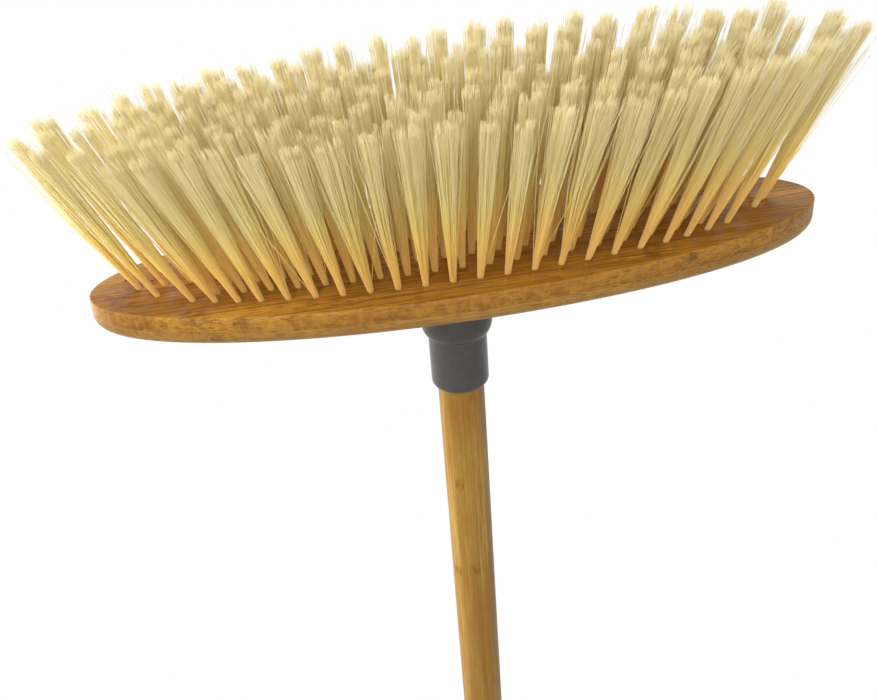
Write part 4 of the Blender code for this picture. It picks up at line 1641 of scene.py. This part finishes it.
@dataclass
class Studio:
    """The camera, the lamps, the white surroundings and the floor.

    The broom was photographed head up, so the camera and lamps are set out in a frame that is
    turned over: X to the right of the picture, Y away from the camera and Z up the bristles, with
    its origin in the middle of the bristle face.
    """

    face_z: float
    azimuth: float = math.radians(0.41)
    elevation: float = math.radians(-37.22)
    roll: float = math.radians(-8.05)
    camera_place: tuple = (-0.0643, -0.5156, 0.2694)
    focal_pixels: float = 1200.0
    picture_width: float = 877.0
    picture_height: float = 700.0
    centre_pixel: tuple = (354.2, 462.6)
    sensor: float = 36.0
    floor_size: float = 12.0
    floor_glow: float = 0.7
    floor_color: tuple = (0.86, 0.86, 0.86, 1.0)
    floor_roughness: float = 0.9
    floor_specular: float = 0.1
    world_light: float = 0.32
    world_color: tuple = (1.0, 0.99, 0.97, 1.0)
    light_bounces: int = 24

    def turned_over(self, vector: np.ndarray) -> np.ndarray:
        """Turn a direction from the picture's frame into the broom's."""
        return np.asarray(vector) * np.array([-1.0, 1.0, -1.0])

    def place(self, point: tuple) -> np.ndarray:
        """Turn a point from the picture's frame into the broom's."""
        return self.turned_over(np.array(point)) + np.array([0.0, 0.0, self.face_z])

    def camera(self) -> Object:
        """Make the camera at the photograph's viewing angle.

        Returns:
            The camera.
        """
        ahead = np.array([math.sin(self.azimuth) * math.cos(self.elevation),
                          math.cos(self.azimuth) * math.cos(self.elevation),
                          math.sin(self.elevation)])
        level = np.cross(ahead, (0.0, 0.0, 1.0))
        level /= np.linalg.norm(level)
        upright = np.cross(level, ahead)
        right = math.cos(self.roll) * level + math.sin(self.roll) * upright
        up = -math.sin(self.roll) * level + math.cos(self.roll) * upright
        data = bpy.data.cameras.new("camera")
        data.sensor_width = self.sensor
        data.lens = self.sensor * self.focal_pixels / self.picture_width
        data.shift_x = (self.picture_width / 2 - self.centre_pixel[0]) / self.picture_width
        data.shift_y = (self.centre_pixel[1] - self.picture_height / 2) / self.picture_width
        data.clip_start = 0.01
        camera = placed(data, self.place(self.camera_place),
                        [self.turned_over(axis) for axis in (right, up, -ahead)])
        bpy.context.scene.camera = camera
        return camera

    def lamp(self, name: str, place: tuple, size: float, watts: float,
             unlit: Collection) -> Object:
        """Make a square soft lamp that faces the bristles.

        Args:
            name: The lamp's name.
            place: Where it hangs, in the picture's frame.
            size: Side of the square.
            watts: Its power.
            unlit: What the lamp leaves unlit.

        Returns:
            The lamp.
        """
        data = bpy.data.lights.new(name, "AREA")
        data.shape = "SQUARE"
        data.size = size
        data.energy = watts
        spot = self.place(place)
        back = spot - np.array([0.0, 0.0, self.face_z])
        back /= np.linalg.norm(back)
        right = np.cross((0.0, 0.0, 1.0), back)
        right /= np.linalg.norm(right)
        lamp = placed(data, spot, [right, np.cross(back, right), back])
        lamp.visible_camera = False
        lamp.light_linking.receiver_collection = unlit
        return lamp

    @staticmethod
    def seen(nodes: Nodes) -> NodeSocket:
        """Return 1 for the rays in which a background shows: seen, mirrored or through glass."""
        path = nodes.add("LightPath").outputs
        return nodes.math("MAXIMUM", path["Is Camera Ray"],
                          nodes.math("MAXIMUM", path["Is Glossy Ray"], path["Is Transmission Ray"]))

    def surroundings(self) -> None:
        """Make an even world that is white wherever it is seen or mirrored."""
        world = bpy.data.worlds.new("white studio")
        world.use_nodes = True
        bpy.context.scene.world = world
        nodes = Nodes(world.node_tree)
        backdrop = world.node_tree.nodes["Background"]
        sink = world.node_tree.nodes["World Output"]
        nodes.feed(backdrop, {"Color": (1.0, 1.0, 1.0, 1.0), "Strength": 1.0})
        light = nodes.feed(nodes.add("Background"),
                           {"Color": self.world_color, "Strength": self.world_light})
        choice = nodes.either(self.seen(nodes), light, backdrop)
        nodes.join(choice.outputs[0], sink.inputs["Surface"])

    def floor(self) -> Object:
        """Make the pale floor, which can be seen and lit through from below.

        From above it is seen as white with a share of its own shade, so that it holds a shadow.

        Returns:
            The floor.
        """
        material, nodes, shader = blank_material("pale floor")
        nodes.feed(shader, {"Base Color": self.floor_color, "Roughness": self.floor_roughness,
                            "Specular IOR Level": self.floor_specular})
        below = nodes.add("NewGeometry").outputs["Backfacing"]
        path = nodes.add("LightPath").outputs
        lit = nodes.math("MAXIMUM", path["Is Shadow Ray"], path["Is Diffuse Ray"])
        glow = nodes.times(self.seen(nodes), self.floor_glow)
        pale = nodes.either(glow, shader, nodes.add("Emission"))
        choice = nodes.either(nodes.math("MAXIMUM", below, lit), pale, nodes.add("BsdfTransparent"))
        nodes.join(choice.outputs[0], material.node_tree.nodes["Material Output"].inputs["Surface"])
        signs = np.array([[-1.0, -1.0, 0.0], [1.0, -1.0, 0.0], [1.0, 1.0, 0.0], [-1.0, 1.0, 0.0]])
        corners = signs * self.floor_size / 2
        floor = Surface(corners, [np.array([[0, 1, 2, 3]])]).to_object("floor", material)
        return floor

    def build(self) -> None:
        """Set up the studio with a plain view transform and enough bounces for light between fibres."""
        bpy.context.scene.view_settings.view_transform = "Standard"
        for kind in ("max", "diffuse", "transmission"):
            setattr(bpy.context.scene.cycles, kind + "_bounces", self.light_bounces)
        self.camera()
        self.surroundings()
        unlit = bpy.data.collections.new("left unlit by the lamps")
        unlit.objects.link(self.floor())
        unlit.collection_objects[0].light_linking.link_state = "EXCLUDE"
        for name, place, size, watts in (("window lamp", (-1.5, -0.35, 0.6), 1.2, 18.0),
                                         ("edge lamp", (-1.25, 0.9, -0.1), 1.0, 22.0),
                                         ("front lamp", (-0.3, -1.6, 0.7), 1.4, 17.5),
                                         ("back lamp", (-0.1, 1.5, 1.1), 1.6, 12.5)):
            self.lamp(name, place, size, watts, unlit)


def log_pieces(label: str, pieces: list) -> None:
    """Report the pieces of one sub-assembly with their face counts."""
    for piece in pieces:
        LOG.info("%s: %s, %d faces", label, piece.name, len(piece.data.polygons))


def main() -> None:
    """Dress the broom and set up its studio."""
    logging.basicConfig(level=logging.INFO, format="%(name)s: %(message)s")
    finishes = Finishes()
    face_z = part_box("bristle_ply")[0].z
    seam_z, back_z = (corner.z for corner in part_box("handle_ply"))
    socket_z, socket_top_z = (corner.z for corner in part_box("socket"))
    shoulder_z, nut_top_z = (corner.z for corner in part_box("collar_nut"))
    spigot_z, top_z = (corner.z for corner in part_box("handle"))

    tufts = TuftField(face_z)
    for label, assembly in (("tufts", tufts),
                            ("head", Head(tufts, face_z, seam_z - SEAM_GAP, back_z)),
                            ("collar", Collar(socket_z, socket_top_z, shoulder_z, nut_top_z)),
                            ("handle", Handle(spigot_z, shoulder_z, top_z))):
        log_pieces(label, assembly.build(finishes))
    log_pieces("hidden fittings", dress_kept_nodes(finishes))
    Studio(face_z).build()


if __name__ == "__main__":
    main()
